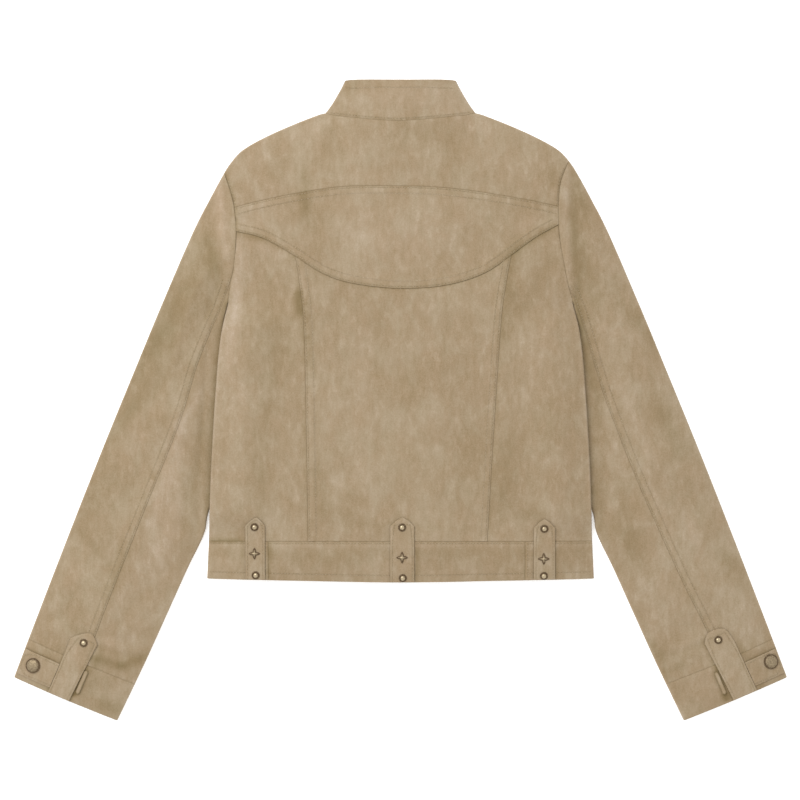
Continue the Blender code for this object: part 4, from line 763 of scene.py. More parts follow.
class Cloth:
    """Points of a piece in rows: plan, height, and fields over the same rows.

    The fields are 1 for an upper layer and -1 for a lower one (way), the outward direction of the
    surface without its relief (out_x, out_y, out_z), and the marks that the material reads.
    """

    def __init__(self, plan, z, **fields):
        self.plan, self.z = plan, z
        self.fields = {key: np.broadcast_to(values, z.shape) for key, values in fields.items()}

    def flipped(self):
        fields = {key: values[:, ::-1] for key, values in self.fields.items()}
        return Cloth(self.plan[:, ::-1], self.z[:, ::-1], **fields)

    def followed_by(self, other):
        """This stretch and the next one round the fold, as one."""
        fields = {key: np.hstack([values, other.fields[key][:, 1:]]) for key, values in self.fields.items()}
        return Cloth(np.hstack([self.plan, other.plan[:, 1:]]), np.hstack([self.z, other.z[:, 1:]]), **fields)

    def points(self):
        return np.concatenate([self.plan, self.z[..., None]], -1)

    def outward(self):
        return np.stack([self.fields[key] for key in ("out_x", "out_y", "out_z")], -1)

    def winding(self):
        """1 if the rows run so that the grid's upper side looks outwards, otherwise -1."""
        across, along = np.gradient(self.plan, axis=1), np.gradient(self.plan, axis=0)
        turn = across[..., 0] * along[..., 1] - across[..., 1] * along[..., 0]
        return math.copysign(1.0, float((turn * self.fields["way"]).sum()))

    def parted(self):
        """The layer, kept clear of the other layer in the fold."""
        middle, upper = FOLD_RADIUS + lift(self.plan), self.fields["way"][0, 0] > 0
        keep, gap = (np.maximum, FOLD_GAP / 2) if upper else (np.minimum, -FOLD_GAP / 2)
        self.z = keep(self.z, middle + gap)
        return self

    def cut_size(self):
        """Width, length and area of the flat cut, in metres."""
        points = self.points() * MM
        across, along = np.diff(points, axis=1), np.diff(points, axis=0)
        width = np.linalg.norm(across, axis=-1).sum(1).max()
        length = np.linalg.norm(along, axis=-1).sum(0).max()
        corners = np.cross(across[:-1], along[:, :-1]), np.cross(across[1:], along[:, 1:])
        area = sum(np.linalg.norm(corner, axis=-1).sum() for corner in corners) / 2
        return float(width), float(length), float(min(area, width * length))


LAP_RUN = 5.0  # a lap falls to its neighbour over this width
BULGE, BULGE_PLACE, BULGE_WIDTH = 0.35, 5.0, 3.4
PUCKER_SHORT, PUCKER_LONG, PUCKER_WANDER = 7.3, 31.0, 0.6
PUCKER_PLACE, PUCKER_REACH, PUCKER_LEAST = 4.0, 7.0, 0.35
EDGE_START, EDGE_EASE = 1.0, 6.0
ROW_REACH = 12.0
UNDERNEATH_ROLL = 0.5
SHADE_REACH = 1.5  # width of the dark line at a seam
# Painted shading of the relief: ridges of creases and puckers are painted lighter and troughs darker
CREASE_PAINTED_SHADING, PUCKER_PAINTED_SHADING = 0.09, 0.12  # how much lighter the cloth looks a millimetre up
FAR = 60.0  # marks further away than this make no difference


def nearest_row(points, paths):
    """Distance from the nearest of some rows of stitching."""
    return np.min([np.full(points.shape[:-1], FAR), *(path.distance(points) for path in paths)], axis=0)


def dressed(name, plan, height, region="body", laps=(), painted_shading=(), grid_rows=None):
    """A layer of a piece, with its seams, creases, puckers and shades.

    The region names its creases and its rows of nap tone and painted shading; hidden is a lower layer. Laps
    are rows of path, height and width where the piece lies over its neighbour. Bands of painted shading are
    rows of path, tone and width, a painted shadow where the tone is below 0 and a painted highlight where it
    is above.
    """
    sizes, upper = bpy.context.scene.jacket_cloth, region != "hidden"
    points = plan.grid((sizes.cell if upper else sizes.hidden_cell) / MM, grid_rows)
    base, edge, outward = height(points)
    way = 1.0 if upper else -1.0
    out_x, out_y, out_z = turned_out(edge, outward, way)
    seam, along, sunk, dark = (np.full(base.shape, value) for value in (FAR, 0.0, 0.0, 0.0))
    for path, strength in plan.seam_paths():
        distance, run = path.nearest(points)
        along = np.where(distance < seam, run, along)
        seam = np.minimum(seam, distance)
        sunk = np.maximum(sunk, strength * (1 - ease(distance / (sizes.seam_reach / MM))))
        dark = np.maximum(dark, strength * (1 - ease(distance / SHADE_REACH)))
    row = nearest_row(points, STITCH_ROWS[name] if upper else ())
    inside = ease((edge - EDGE_START) / EDGE_EASE)
    crease = bumps(points, CREASES[region]) * sizes.creasing * inside
    roll = sizes.seam_depth / MM * sunk
    tone = 0.0
    if upper:
        stitched = ease(1 - row / ROW_REACH)
        bulge = BULGE * stitched * bell((seam - BULGE_PLACE) / BULGE_WIDTH)
        course = along / PUCKER_SHORT + PUCKER_WANDER * np.sin(2 * math.pi * along / PUCKER_LONG)
        near = bell((seam - PUCKER_PLACE) / PUCKER_REACH) * (PUCKER_LEAST + (1 - PUCKER_LEAST) * stitched)
        pucker = sizes.pucker / MM * np.sin(2 * math.pi * course) * near
        z = base + crease + (waviness(points) - roll + bulge + pucker) * inside
        for path, raised, width in laps:
            z += raised * inside * (1 - ease((path.distance(points) - width) / LAP_RUN))
        # Nap tone with its painted shading by place, painted shading of creases and puckers, and bands of
        # painted shadow and highlight
        tone = bumps(points, NAP_TONE_AND_PAINTED_SHADING[region]) + CREASE_PAINTED_SHADING * crease + PUCKER_PAINTED_SHADING * pucker
        for path, lighter, width in painted_shading:
            tone += lighter * bell(path.distance(points) / width)
    else:
        z = base + np.maximum(crease, 0.0) + roll * inside * UNDERNEATH_ROLL
    return Cloth(points, z, way=way, out_x=out_x, out_y=out_y, out_z=out_z, seam=dark, row=row,
                 fold=np.minimum(edge, FAR), tone=tone, hide=HIDE[name])


# ---------------------------------------------------------------- meshes


def only(kind, geometry):
    return [item for item in geometry if isinstance(item, kind)]


def corners_of(geometry):
    return only(bmesh.types.BMVert, geometry)


def placed(name, data):
    """An object made of its data, in the scene."""
    made = bpy.data.objects.new(name, data)
    bpy.context.scene.collection.objects.link(made)
    return made


def mesh_of(name, shape):
    mesh = bpy.data.meshes.new(name)
    shape.to_mesh(mesh)
    shape.free()
    return mesh


def marked(mesh, key, values):
    """Adds a mark to a mesh, with a value for each corner."""
    mesh.attributes.new(key, "FLOAT", "POINT").data.foreach_set("value", np.array(values, np.float32))


def shell(name, cloth, wall):
    """A closed shell: a slab of grid faces whose upper side is moved onto the cloth's outer side and
    whose lower side onto its inner side, a wall's thickness in. Its marks become attributes."""
    rows, columns = cloth.z.shape
    shape = bmesh.new()
    bmesh.ops.create_grid(shape, x_segments=columns - 1, y_segments=rows - 1, size=0.5)
    raised = corners_of(bmesh.ops.extrude_face_region(shape, geom=shape.faces[:])["geom"])
    bmesh.ops.translate(shape, vec=(0.0, 0.0, 1.0), verts=raised)
    bmesh.ops.recalc_face_normals(shape, faces=shape.faces[:])
    if cloth.winding() < 0:
        bmesh.ops.reverse_faces(shape, faces=shape.faces[:])
    mesh = mesh_of(name, shape)
    places = np.empty(len(mesh.vertices) * 3)
    mesh.vertices.foreach_get("co", places)
    places = places.reshape(-1, 3)
    i = np.rint((places[:, 0] + 0.5) * (columns - 1)).astype(int)
    j = np.rint((places[:, 1] + 0.5) * (rows - 1)).astype(int)
    outer = cloth.points()
    inner = outer - cloth.outward() * np.broadcast_to(wall, cloth.z.shape)[..., None]
    places = np.where(places[:, 2:] > 0.5, outer[j, i], inner[j, i])
    mesh.vertices.foreach_set("co", (places * MM).ravel())
    for key in MARKS:
        marked(mesh, key, cloth.fields[key][j, i])
    mesh.shade_smooth()
    mesh.materials.append(finish("suede_jacket", paint_suede))
    mesh.update()
    return placed(name, mesh)


def sew(nodes, cloth, wall):
    """A cloth piece that stands for its CAD nodes, which it hides."""
    made = shell(f"{nodes[0]}_suede", cloth, wall)
    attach(made, "root")
    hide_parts(*nodes)
    width, length, area = cloth.cut_size()


# ---------------------------------------------------------------- body

# How deep the seams of some pieces look
BAND_SEAMS = {"north": 0.5, "west": 0.55, "east": 0.55}
SIDE_PANEL_SEAMS = {"left": {"south": 0.35, "north": 0.36, "west": 0.35, "east": 0.22},
                    "right": {"south": 0.35, "north": 0.4, "west": 0.14, "east": 0.12}}


def body_side_line(side, top_y):
    """From the hem seam up the side edge, then up the armhole."""
    edge, seam = BODY_EDGE[side], ARM_SEAM[side]
    low, high = edge.share_at(1, HEM_SEAM_Y), seam.share_at(1, top_y)
    side_length = edge.length * low
    share = side_length / (side_length + seam.length * (1.0 - high))
    return joined((edge.part(low, 0.0), seam.part(1.0, high)), (0.0, share, 1.0))


def arm_parts(low, high):
    """The stretch between two heights on each armhole, west and east."""
    return [seam.part(seam.share_at(1, low[side]), seam.share_at(1, high[side]))
            for side, seam in ARM_SEAM.items()]


def shoulder(side):
    """The shoulder fold, from the neck point to the armhole."""
    return OUTER[side].part(0.0, ARM_TOP_SHARE[side])


def front_curve(side, low, out, high):
    """A bowed line of the front, from the centre line out and up."""
    across = np.linspace(FRONT_EDGE_X, out, 25)
    return Path(np.stack([SIDES[side] * across, low + (high - low) * (across / out) ** 2], -1), smooth=False)


def front_neck(side):
    """The front neckline, from the centre up to the neck point."""
    out, high = SHOULDER_AND_SLEEVE[0]
    return front_curve(side, high - FRONT_NECK_DIP, out, high)


def yoke_top():
    """The shoulder folds with the neck seam between them, from armhole to armhole."""
    left, right = (OUTER[side].length * ARM_TOP_SHARE[side] for side in SIDES)
    total = left + NECK.length + right
    return joined((backwards(shoulder("left")), NECK, shoulder("right")),
                  (0.0, left / total, 1 - right / total, 1.0))


def make_back():
    wall = bpy.context.scene.jacket_cloth.wall / MM

    def panel(name, plan, laps, painted_shading):
        sew([name], dressed(name, plan, body_top, "body", laps, painted_shading).parted(), wall)

    high, low = (dict(zip(SIDES, (rows[0][1], rows[-1][1]))) for rows in (UPPER_YOKE_SEAM, CURVED_YOKE_SEAM))
    yoke = Plan(UPPER_SEAM, yoke_top(), *arm_parts(high, ARMHOLE_TOP_Y), folds=("north",),
                seams={"south": 0.4, "north": 0.3, "west": 0.3, "east": 0.15}, tests={"north": at_neck})
    # Painted shade along the left armhole and a faint painted highlight along the right one
    painted_shading = ((ARM_SEAM["left"], -0.14, 4.0), (ARM_SEAM["right"], 0.02, 9.0))
    panel("back_yoke_upper", yoke, (), painted_shading)
    crescent = Plan(CURVED_SEAM, UPPER_SEAM, *arm_parts(low, high),
                    seams={"south": 0.3, "north": 0.25, "west": 0.3, "east": 0.12})
    laps = ((CURVED_SEAM, 0.8, 9.0), (UPPER_SEAM, 0.35, 9.0))
    panel("back_yoke_curved", crescent, laps, painted_shading)

    cut = {side: HEM_SEAM.share_at(0, PRINCESS_SEAM[side][-1][0]) for side in SIDES}
    centre = Plan(HEM_SEAM.part(*cut.values()), CURVED_SEAM.part(*PRINCESS_SHARE.values()),
                  *(backwards(seam) for seam in PRINCESS.values()),
                  seams={"south": 0.3, "north": 0.42, "west": 0.22, "east": 0.14})
    laps = ((PRINCESS["left"], 0.4, 7.0), (PRINCESS["right"], 0.4, 6.0))
    # Painted shade below the curved yoke seam, painted highlight above the hem seam and beside the princess
    # seams
    shared = ((CURVED_SEAM, -0.07, 4.0), (HEM_SEAM, 0.06, 3.0))
    beside = [(seam, 0.05, 4.0) for seam in PRINCESS.values()]
    panel("back_centre", centre, laps, (*shared, *beside))

    for side in SIDES:
        plan = Plan(HEM_SEAM.part(*west_east(side, cut[side], END[side])),
                    CURVED_SEAM.part(*west_east(side, PRINCESS_SHARE[side], END[side])),
                    *west_east(side, backwards(PRINCESS[side]), body_side_line(side, low[side])),
                    folds=(FOLD_SIDE[side],), seams=SIDE_PANEL_SEAMS[side],
                    tests={FOLD_SIDE[side]: above_underarm})
        # Painted highlight along the side edge and painted shade beside the princess seam
        painted_shading = (*shared, (BODY_EDGE[side], 0.06, 6.0), (PRINCESS[side], -0.07, 4.0))
        panel(f"back_side_{side}", plan, (), painted_shading)


def make_fronts():
    for side, sign in SIDES.items():
        neckline = front_neck(side)
        hem_corner = (sign * FRONT_EDGE_X, HEM_SEAM_Y)
        centre = straight(hem_corner, neckline(0.0))
        share = centre.length / (centre.length + neckline.length)
        inner = joined((centre, neckline), (0.0, share, 1.0))
        top = shoulder(side) if sign > 0 else backwards(shoulder(side))
        plan = Plan(straight(*west_east(side, hem_corner, (sign * HEM_HALF, HEM_SEAM_Y))), top,
                    *west_east(side, inner, body_side_line(side, ARMHOLE_TOP_Y[side])),
                    folds=(FOLD_SIDE[side], "north"), seams={"south": 0.5, "west": 0.5, "east": 0.5},
                    tests={FOLD_SIDE[side]: above_underarm})
        cloth = dressed(f"front_{side}", plan, body_bottom, "hidden").parted()
        sew([f"front_{side}"], cloth, bpy.context.scene.jacket_cloth.wall / MM)


def wrapped(side, inner, outer):
    """Two stretches round a folded edge as one, from the one that lies west in plan."""
    first, second = west_east(side, inner, outer)
    return first.flipped().followed_by(second)


def make_hem_band():
    sizes = bpy.context.scene.jacket_cloth
    wall = sizes.band_wall / MM
    cuts = {side: (HEM_LINE.share_at(0, x), HEM_SEAM.share_at(0, x)) for side, x in BAND_SEAM_X.items()}
    ends = {side: straight(HEM_LINE(low), HEM_SEAM(high)) for side, (low, high) in cuts.items()}
    lows, highs = zip(*cuts.values())
    back = Plan(HEM_LINE.part(*lows), HEM_SEAM.part(*highs), *ends.values(), seams=BAND_SEAMS)
    # Painted highlight along the top of the band and painted shade over its middle
    bright, dim = (straight(*HEM_SEAM.points - (0.0, down)) for down in (BAND_LIGHT, BAND_LIGHT + BAND_DIM))
    painted_shading = ((bright, 0.07, 3.0), (dim, -0.05, 8.0))
    cloth = dressed("hem_band_back", back, body_top, "body", (), painted_shading)
    sew(["hem_band_back"], cloth, wall)
    for side, sign in SIDES.items():
        name, end = f"hem_band_{side}", END[side]
        fold = straight(HEM_LINE(end), HEM_SEAM(end))
        front_low, front_high = ((sign * FRONT_EDGE_X, y) for y in (HEM_EDGE[2][1], HEM_SEAM_Y))
        low_end = HEM_LINE.share_at(0, front_low[0])
        sewn = {key: BAND_SEAMS[key] for key in ("north", "east")}
        upper = Plan(HEM_LINE.part(end, cuts[side][0]), straight(HEM_SEAM(end), HEM_SEAM(cuts[side][1])),
                     fold, ends[side], folds=("west",), seams=sewn)
        lower = Plan(HEM_LINE.part(end, low_end), straight(HEM_SEAM(end), front_high),
                     fold, straight(front_low, front_high), folds=("west",), seams=sewn)
        rows = upper.cells("along", sizes.cell / MM)
        shown = dressed(name, upper, body_top, "body", (), painted_shading, rows)
        under = dressed(name, lower, body_bottom, "hidden", grid_rows=rows)
        sew([name], wrapped(side, shown, under), wall)


def make_collar():
    sizes = bpy.context.scene.jacket_cloth
    plan = Plan(NECK, COLLAR_TOP_LINE, *(backwards(edge) for edge in COLLAR_EDGE.values()),
                folds=("west", "east"), seams={"south": 0.3})
    rows = plan.cells("along", sizes.cell / MM)
    lower = []
    for side, edge in COLLAR_EDGE.items():
        neckline = front_neck(side)
        top = front_curve(side, float(neckline(0.0)[1]) + FRONT_COLLAR_HEIGHT, *COLLAR_SIDE[0])
        front = Plan(backwards(neckline), backwards(top), backwards(edge), straight(neckline(0.0), top(0.0)),
                     folds=("west",), seams={"south": 0.5, "east": 0.5})
        lower.append(dressed("collar", front, body_bottom, "hidden", grid_rows=rows))
    back = dressed("collar", plan, body_top, grid_rows=rows)
    sew(["collar"], lower[0].flipped().followed_by(back).followed_by(lower[1]), sizes.band_wall / MM)


# ---------------------------------------------------------------- sleeves and cuffs

# How deep the seams look
SLEEVE_SEAMS = {"south": 0.25, "north": 0.3, "east": 0.12}
CUFF_SEAMS = {"north": 0.28, "east": 0.3}
# Painted shadow that the body's edge casts on the sleeve beside it
SLEEVE_BESIDE_BODY = {"left": (-0.24, 5.0), "right": (-0.10, 6.0)}  # the shade there: tone and width


def at_cuff_seam(side):
    """Shares of the outer and inner folded edges at which the cuff is sewn on."""
    return [edges[side].share_at(1, row[1]) for edges, row in zip((OUTER, INNER), CUFF_SEAM)]


def sleeve_seams(side, table):
    """A sleeve seam from the cuff up to the armhole, the edges round it, and where it meets them."""
    arm, rows = SLEEVE_ARM_SEAM[side], on_side(table, side)
    outer_share, inner_share = at_cuff_seam(side)
    outer, inner = OUTER[side].part(outer_share, ARM_TOP_SHARE[side]), INNER[side].part(inner_share, 0.0)
    cuff = straight(outer(0.0), inner(0.0))
    at_arm, at_cuff = arm.share_at(1, rows[0][1]), cuff.share_at(0, rows[-1][0])
    seam = Path([arm(at_arm), *rows[1:-1], cuff(at_cuff)])
    return outer, inner, cuff, seam, at_arm, at_cuff


def make_sleeve(side):
    sizes, arm = bpy.context.scene.jacket_cloth, SLEEVE_ARM_SEAM[side]
    made, grid_rows = {}, None
    for region, table, height in ((side, BACK_SLEEVE_SEAM[side], sleeve_top(side)),
                                  ("hidden", FRONT_SLEEVE_SEAM, sleeve_bottom(side))):
        outer, inner, cuff, seam, at_arm, at_cuff = sleeve_seams(side, table)
        # Painted shadow beside the body's edge and beside the sleeve seam
        painted_shading = ((BODY_EDGE[side], *SLEEVE_BESIDE_BODY[side]), (seam, -0.02, 5.0))
        for name, start, fold in (("upper", 0.0, outer), ("under", 1.0, inner)):
            plan = Plan(cuff.part(start, at_cuff), arm.part(start, at_arm), fold, backwards(seam),
                        folds=("west",), seams=SLEEVE_SEAMS)
            grid_rows = grid_rows or plan.cells("along", sizes.cell / MM)
            laps = ((seam, 0.35, 8.0),) if name == "upper" else ()
            node = f"{SLEEVE_NODES[name][0]}_{side}"
            made[name, region] = dressed(node, plan, height, region, laps, painted_shading, grid_rows)
    layers = {"upper": (side, "hidden"), "under": ("hidden", side)}
    for name, nodes in SLEEVE_NODES.items():
        cloth = wrapped(side, *(made[name, region] for region in layers[name]))
        sew([f"{node}_{side}" for node in nodes], cloth, sizes.wall / MM)


def make_cuff(side):
    sizes, sign, tab, name = bpy.context.scene.jacket_cloth, SIDES[side], CUFF_TAB[side], f"cuff_{side}"
    outer, inner = (edges[side].part(1.0, share) for edges, share in zip((OUTER, INNER), at_cuff_seam(side)))
    seam_line, end_line = (straight(outer(end), inner(end)) for end in (1.0, 0.0))
    (seam_x, _), (end_x, _) = on_side(CUFF_SLIT, side)
    at_seam, at_end = seam_line.share_at(0, seam_x), end_line.share_at(0, end_x)
    slit = straight(end_line(at_end), seam_line(at_seam))
    outer_plan, inner_plan = (
        Plan(end_line.part(start, at_end), seam_line.part(start, at_seam), fold, slit,
             folds=("west",), seams=CUFF_SEAMS)
        for start, fold in ((0.0, outer), (1.0, inner)))
    lower_plan = Plan(end_line, seam_line, outer, inner, folds=("west", "east"), seams={"north": 0.5})
    rows = outer_plan.cells("along", sizes.cell / MM)
    strap_top, strap_way = shifted(on_side(CUFF_SEAM, side), sign * CUFF_STRAP_INSET)
    strap = straight(strap_top, strap_top + STRAP_SHARE * (strap_way - strap_top))
    tab_outer, tab_inner = (straight(*on_side(ends, side)) for ends in zip(tab["top"][::3], tab["bottom"]))
    # Painted shadows on the cuff beside the strap's upper edge, the tab's sides and the keeper
    painted_shading = ((strap, -0.34, 1.5), (tab_inner, -0.26, 2.2), (tab_outer, -0.10, 2.2),
             (straight(*on_side(CUFF_KEEPER[side], side)), -0.26, 3.6))
    outer_cloth, inner_cloth = (dressed(name, plan, sleeve_top(side), side, (), painted_shading, rows)
                                for plan in (outer_plan, inner_plan))
    lower = dressed(name, lower_plan, sleeve_bottom(side), "hidden", grid_rows=rows)
    if side == "left":
        cloth = inner_cloth.flipped().followed_by(lower.flipped()).followed_by(outer_cloth)
    else:
        cloth = outer_cloth.flipped().followed_by(lower).followed_by(inner_cloth)
    sew([name], cloth, sizes.band_wall / MM)


# ---------------------------------------------------------------- stitched rows

EDGE_ROW, WIDE_ROW = 1.8, 8.4  # the rows of a pair, from their seam
LEFT_PRINCESS_ROW, RIGHT_PRINCESS_ROW = 9.4, 7.6  # the wide rows beside the princess seams
COLLAR_FOOT_ROW = 2.2
HEM_ROW, HEM_EDGE_ROW = 2.4, 8.0  # from the hem band's seam and from its edge
BAND_END, BAND_END_ROW, BAND_END_ROW_Y = 2.0, 3.0, (-165.0, -204.0)
CUFF_ROWS, CUFF_END_ROW = (2.2, 7.6), 9.0
ARM_ROW_START, LEFT_ARM_ROW_Y, RIGHT_ARM_ROW_END = 0.06, 224.0, 0.32
STITCH_ROWS = {}


def rows_beside(path, *rows):
    """Rows along a path: distance to its left, and the millimetres left out at its start and end."""
    return [path.beside(distance).trimmed(start, end) for distance, start, end in rows]


def draw_stitch_rows():
    """The rows of stitching on each piece, in plan."""
    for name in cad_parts:
        STITCH_ROWS[name] = []
    STITCH_ROWS["back_yoke_curved"] = (
        rows_beside(UPPER_SEAM, (-EDGE_ROW, 2, 2), (-WIDE_ROW, 1, 1))
        + rows_beside(CURVED_SEAM, (EDGE_ROW, 2, 2), (WIDE_ROW, 3, 3)))
    STITCH_ROWS["back_centre"] = (
        rows_beside(PRINCESS["left"], (EDGE_ROW, 2, 2), (LEFT_PRINCESS_ROW, 8, 2))
        + rows_beside(PRINCESS["right"], (-EDGE_ROW, 2, 2), (-RIGHT_PRINCESS_ROW, 8, 2)))
    low = Path([(x, y + HEM_EDGE_ROW) for x, y in HEM_EDGE])
    cuts = (-HEM_HALF, *BAND_SEAM_X.values(), HEM_HALF)
    for name, start, end in zip(("hem_band_left", "hem_band_back", "hem_band_right"), cuts, cuts[1:]):
        start, end = start + BAND_END, end - BAND_END
        STITCH_ROWS[name] = [straight((start, HEM_SEAM_Y - HEM_ROW), (end, HEM_SEAM_Y - HEM_ROW)),
                             low.cut(low.share_at(0, start), low.share_at(0, end))]
    STITCH_ROWS["collar"] = [Path(COLLAR_ROW), *rows_beside(NECK, (COLLAR_FOOT_ROW, 6, 6))]
    for side, sign in SIDES.items():
        x = BAND_SEAM_X[side] + sign * BAND_END_ROW
        STITCH_ROWS[f"hem_band_{side}"].append(straight(*((x, y) for y in BAND_END_ROW_Y)))
        seam = sleeve_seams(side, BACK_SLEEVE_SEAM[side])[3]
        STITCH_ROWS[f"sleeve_upper_back_{side}"] = rows_beside(
            seam, (sign * EDGE_ROW, 4, 2), (sign * WIDE_ROW, 8, 2))
        cuff_seam, cuff_end = (straight(*on_side(rows, side)) for rows in (CUFF_SEAM, CUFF_END))
        STITCH_ROWS[f"cuff_{side}"] = (
            rows_beside(cuff_seam, *((-sign * row, 2, 2) for row in CUFF_ROWS))
            + rows_beside(cuff_end, (sign * CUFF_END_ROW, 2, 2)))
    left, right = ARM_SEAM.values()
    STITCH_ROWS["back_yoke_upper"] = [
        left.beside(EDGE_ROW).cut(ARM_ROW_START, left.share_at(1, LEFT_ARM_ROW_Y)),
        right.beside(-EDGE_ROW).cut(ARM_ROW_START, RIGHT_ARM_ROW_END)]


# ---------------------------------------------------------------- trims

TRIM_NODES = ("hem_tab_", "cuff_tab_", "cuff_strap_", "cuff_keeper_")
TAB_UNDER = ("back_centre", "back_side_left", "back_side_right", "hem_band_back", "hem_band_left",
             "hem_band_right")
GROUND_REACH, SEAT_REACH = 2.0, 0.4  # how far round a point its highest place is looked for
TRIM_SMOOTHING = 10
TRIM_EDGE_ROLL, TRIM_EDGE_WIDTH, TRIM_FOLD = 0.55, 1.5, 0.8
TRIM_ROW_DENT, TRIM_ROW_WIDTH, TRIM_ROW_END = 0.16, 0.9, 0.6
# The edge shade is painted shade along a trim's rolled edge
TRIM_TONE, TRIM_EDGE_SHADE = 0.02, 0.10
PARED, PARED_REACH = 0.65, 5.0


class Ground:
    """The upper surface of the pieces that stand for some nodes."""

    ABOVE_ALL = 0.1  # metres

    def __init__(self, *nodes):
        shape = bmesh.new()
        for node in nodes:
            shape.from_mesh(bpy.data.objects[f"{node}_suede"].data)
        self.tree = BVHTree.FromBMesh(shape)
        shape.free()

    def height(self, x, y):
        """Height of the surface at a point in millimetres, or None beside it."""
        hit = self.tree.ray_cast(Vector((x * MM, y * MM, self.ABOVE_ALL)), Vector((0, 0, -1)))[0]
        return hit.z / MM if hit else None

    def highest(self, x, y, reach=GROUND_REACH):
        """The highest place round a point, so that seams and edges are passed over."""
        found = [self.height(x + i * reach, y + j * reach) for i in (-1, 0, 1) for j in (-1, 0, 1)]
        return max(height for height in found if height is not None)

    def seat(self, x, y, radius):
        """Place and lean of a round piece that stands on the surface."""
        around = ((1, 0), (-1, 0), (0, 1), (0, -1))
        right, left, up, down = (self.highest(x + i * radius, y + j * radius, SEAT_REACH) for i, j in around)
        normal = Vector((left - right, down - up, 2 * radius)).normalized()
        base = max(self.highest(x, y, SEAT_REACH), (right + left) / 2, (up + down) / 2)
        return Vector((x, y, base)) * MM, Vector((0, 0, 1)).rotation_difference(normal)


def smoothed(values, rounds):
    """Values on a grid, evened out with their neighbours."""
    for _ in range(rounds):
        for axis in (0, 1):
            padded = np.concatenate([np.take(values, [0], axis), values, np.take(values, [-1], axis)], axis)
            count = values.shape[axis]
            before, after = (np.take(padded, range(k, k + count), axis) for k in (0, 2))
            values = 0.25 * before + 0.5 * values + 0.25 * after
    return values


def trim(node, plan, outline, row_corners, hand, ground, soft=None, edge_shade=TRIM_EDGE_SHADE):
    """A tab or strap that lies on other pieces, with its rounded edge and stitched row.

    The row runs beside its corners, to the left of their course if hand is 1 and to the right if -1.
    Along a soft edge the trim is pared thin, so that it hardly stands up from what it lies on.
    """
    sizes = bpy.context.scene.jacket_cloth
    if row_corners:
        row_path = Path(row_corners, smooth=False)
        STITCH_ROWS[node] = rows_beside(row_path, (hand * TRIM_ROW, TRIM_ROW_END, TRIM_ROW_END))
    points = plan.grid(sizes.trim_cell / MM)
    low = smoothed(np.array([[ground.highest(x, y) for x, y in line] for line in points]), TRIM_SMOOTHING)
    pared = 1 - PARED * ease(1 - soft.distance(points) / PARED_REACH) if soft else 1.0
    wall = sizes.trim_wall / MM * pared
    edge, row = outline.distance(points), nearest_row(points, STITCH_ROWS[node])
    into_edge = 1 - np.clip(edge / TRIM_EDGE_WIDTH, 0, 1)
    rolled = pared * TRIM_EDGE_ROLL * (1 - np.sqrt(1 - into_edge**2))
    sunk = rolled + TRIM_ROW_DENT * ease(1 - row / TRIM_ROW_WIDTH)
    # Painted shade darkens the rolled edge
    tone = TRIM_TONE - edge_shade * pared * ease(into_edge)
    cloth = Cloth(points, low + TRIM_GAP + wall - sunk, way=1.0, out_x=0.0, out_y=0.0, out_z=1.0, seam=0.0,
                  row=row, fold=edge + TRIM_FOLD, tone=tone, hide=HIDE[node])
    sew([node], cloth, wall - sunk)


def make_tab(node, feet, top, row_top, hand, ground):
    """A tab from its two feet up round its top."""
    sides = straight(feet[0], top[0]), straight(feet[1], top[-1])
    plan = Plan(straight(*feet), Path(top, smooth=False), *sides)
    outline = Path([feet[0], *top, feet[1], feet[0]], smooth=False)
    trim(node, plan, outline, [feet[0], *row_top, feet[1]], hand, ground)


def make_hem_tabs():
    ground = Ground(*TAB_UNDER)
    for place, tab in HEM_TABS.items():
        left, right = (tab["foot_x"] + way * tab["half"] for way in (-1, 1))
        feet = [HEM_LINE(HEM_LINE.share_at(0, x)) + (0.0, TAB_FOOT) for x in (left, right)]
        apex_x, apex_y = tab["apex"]
        shoulder_y = tab["shoulder_y"]
        round_y = shoulder_y + (apex_y - shoulder_y) * TAB_ROUND
        knots = [(left, shoulder_y), ((left + apex_x) / 2, round_y), tab["apex"],
                 ((right + apex_x) / 2, round_y), (right, shoulder_y)]
        top = Path(knots, smooth=tab["round"]).points
        make_tab(f"hem_tab_{place}", feet, top, top, -1, ground)


def shifted(ends, distance):
    """A straight line moved sideways, to the left of its course if the distance is positive."""
    a, b = np.array(ends, float)
    move = leftward(b - a) * distance
    return a + move, b + move


def crossing(first, second):
    """Where two straight lines meet, each given by two points."""
    (a, b), (c, d) = first, second
    run, other = b - a, d - c
    share = ((c - a)[0] * other[1] - (c - a)[1] * other[0]) / (run[0] * other[1] - run[1] * other[0])
    return a + run * share


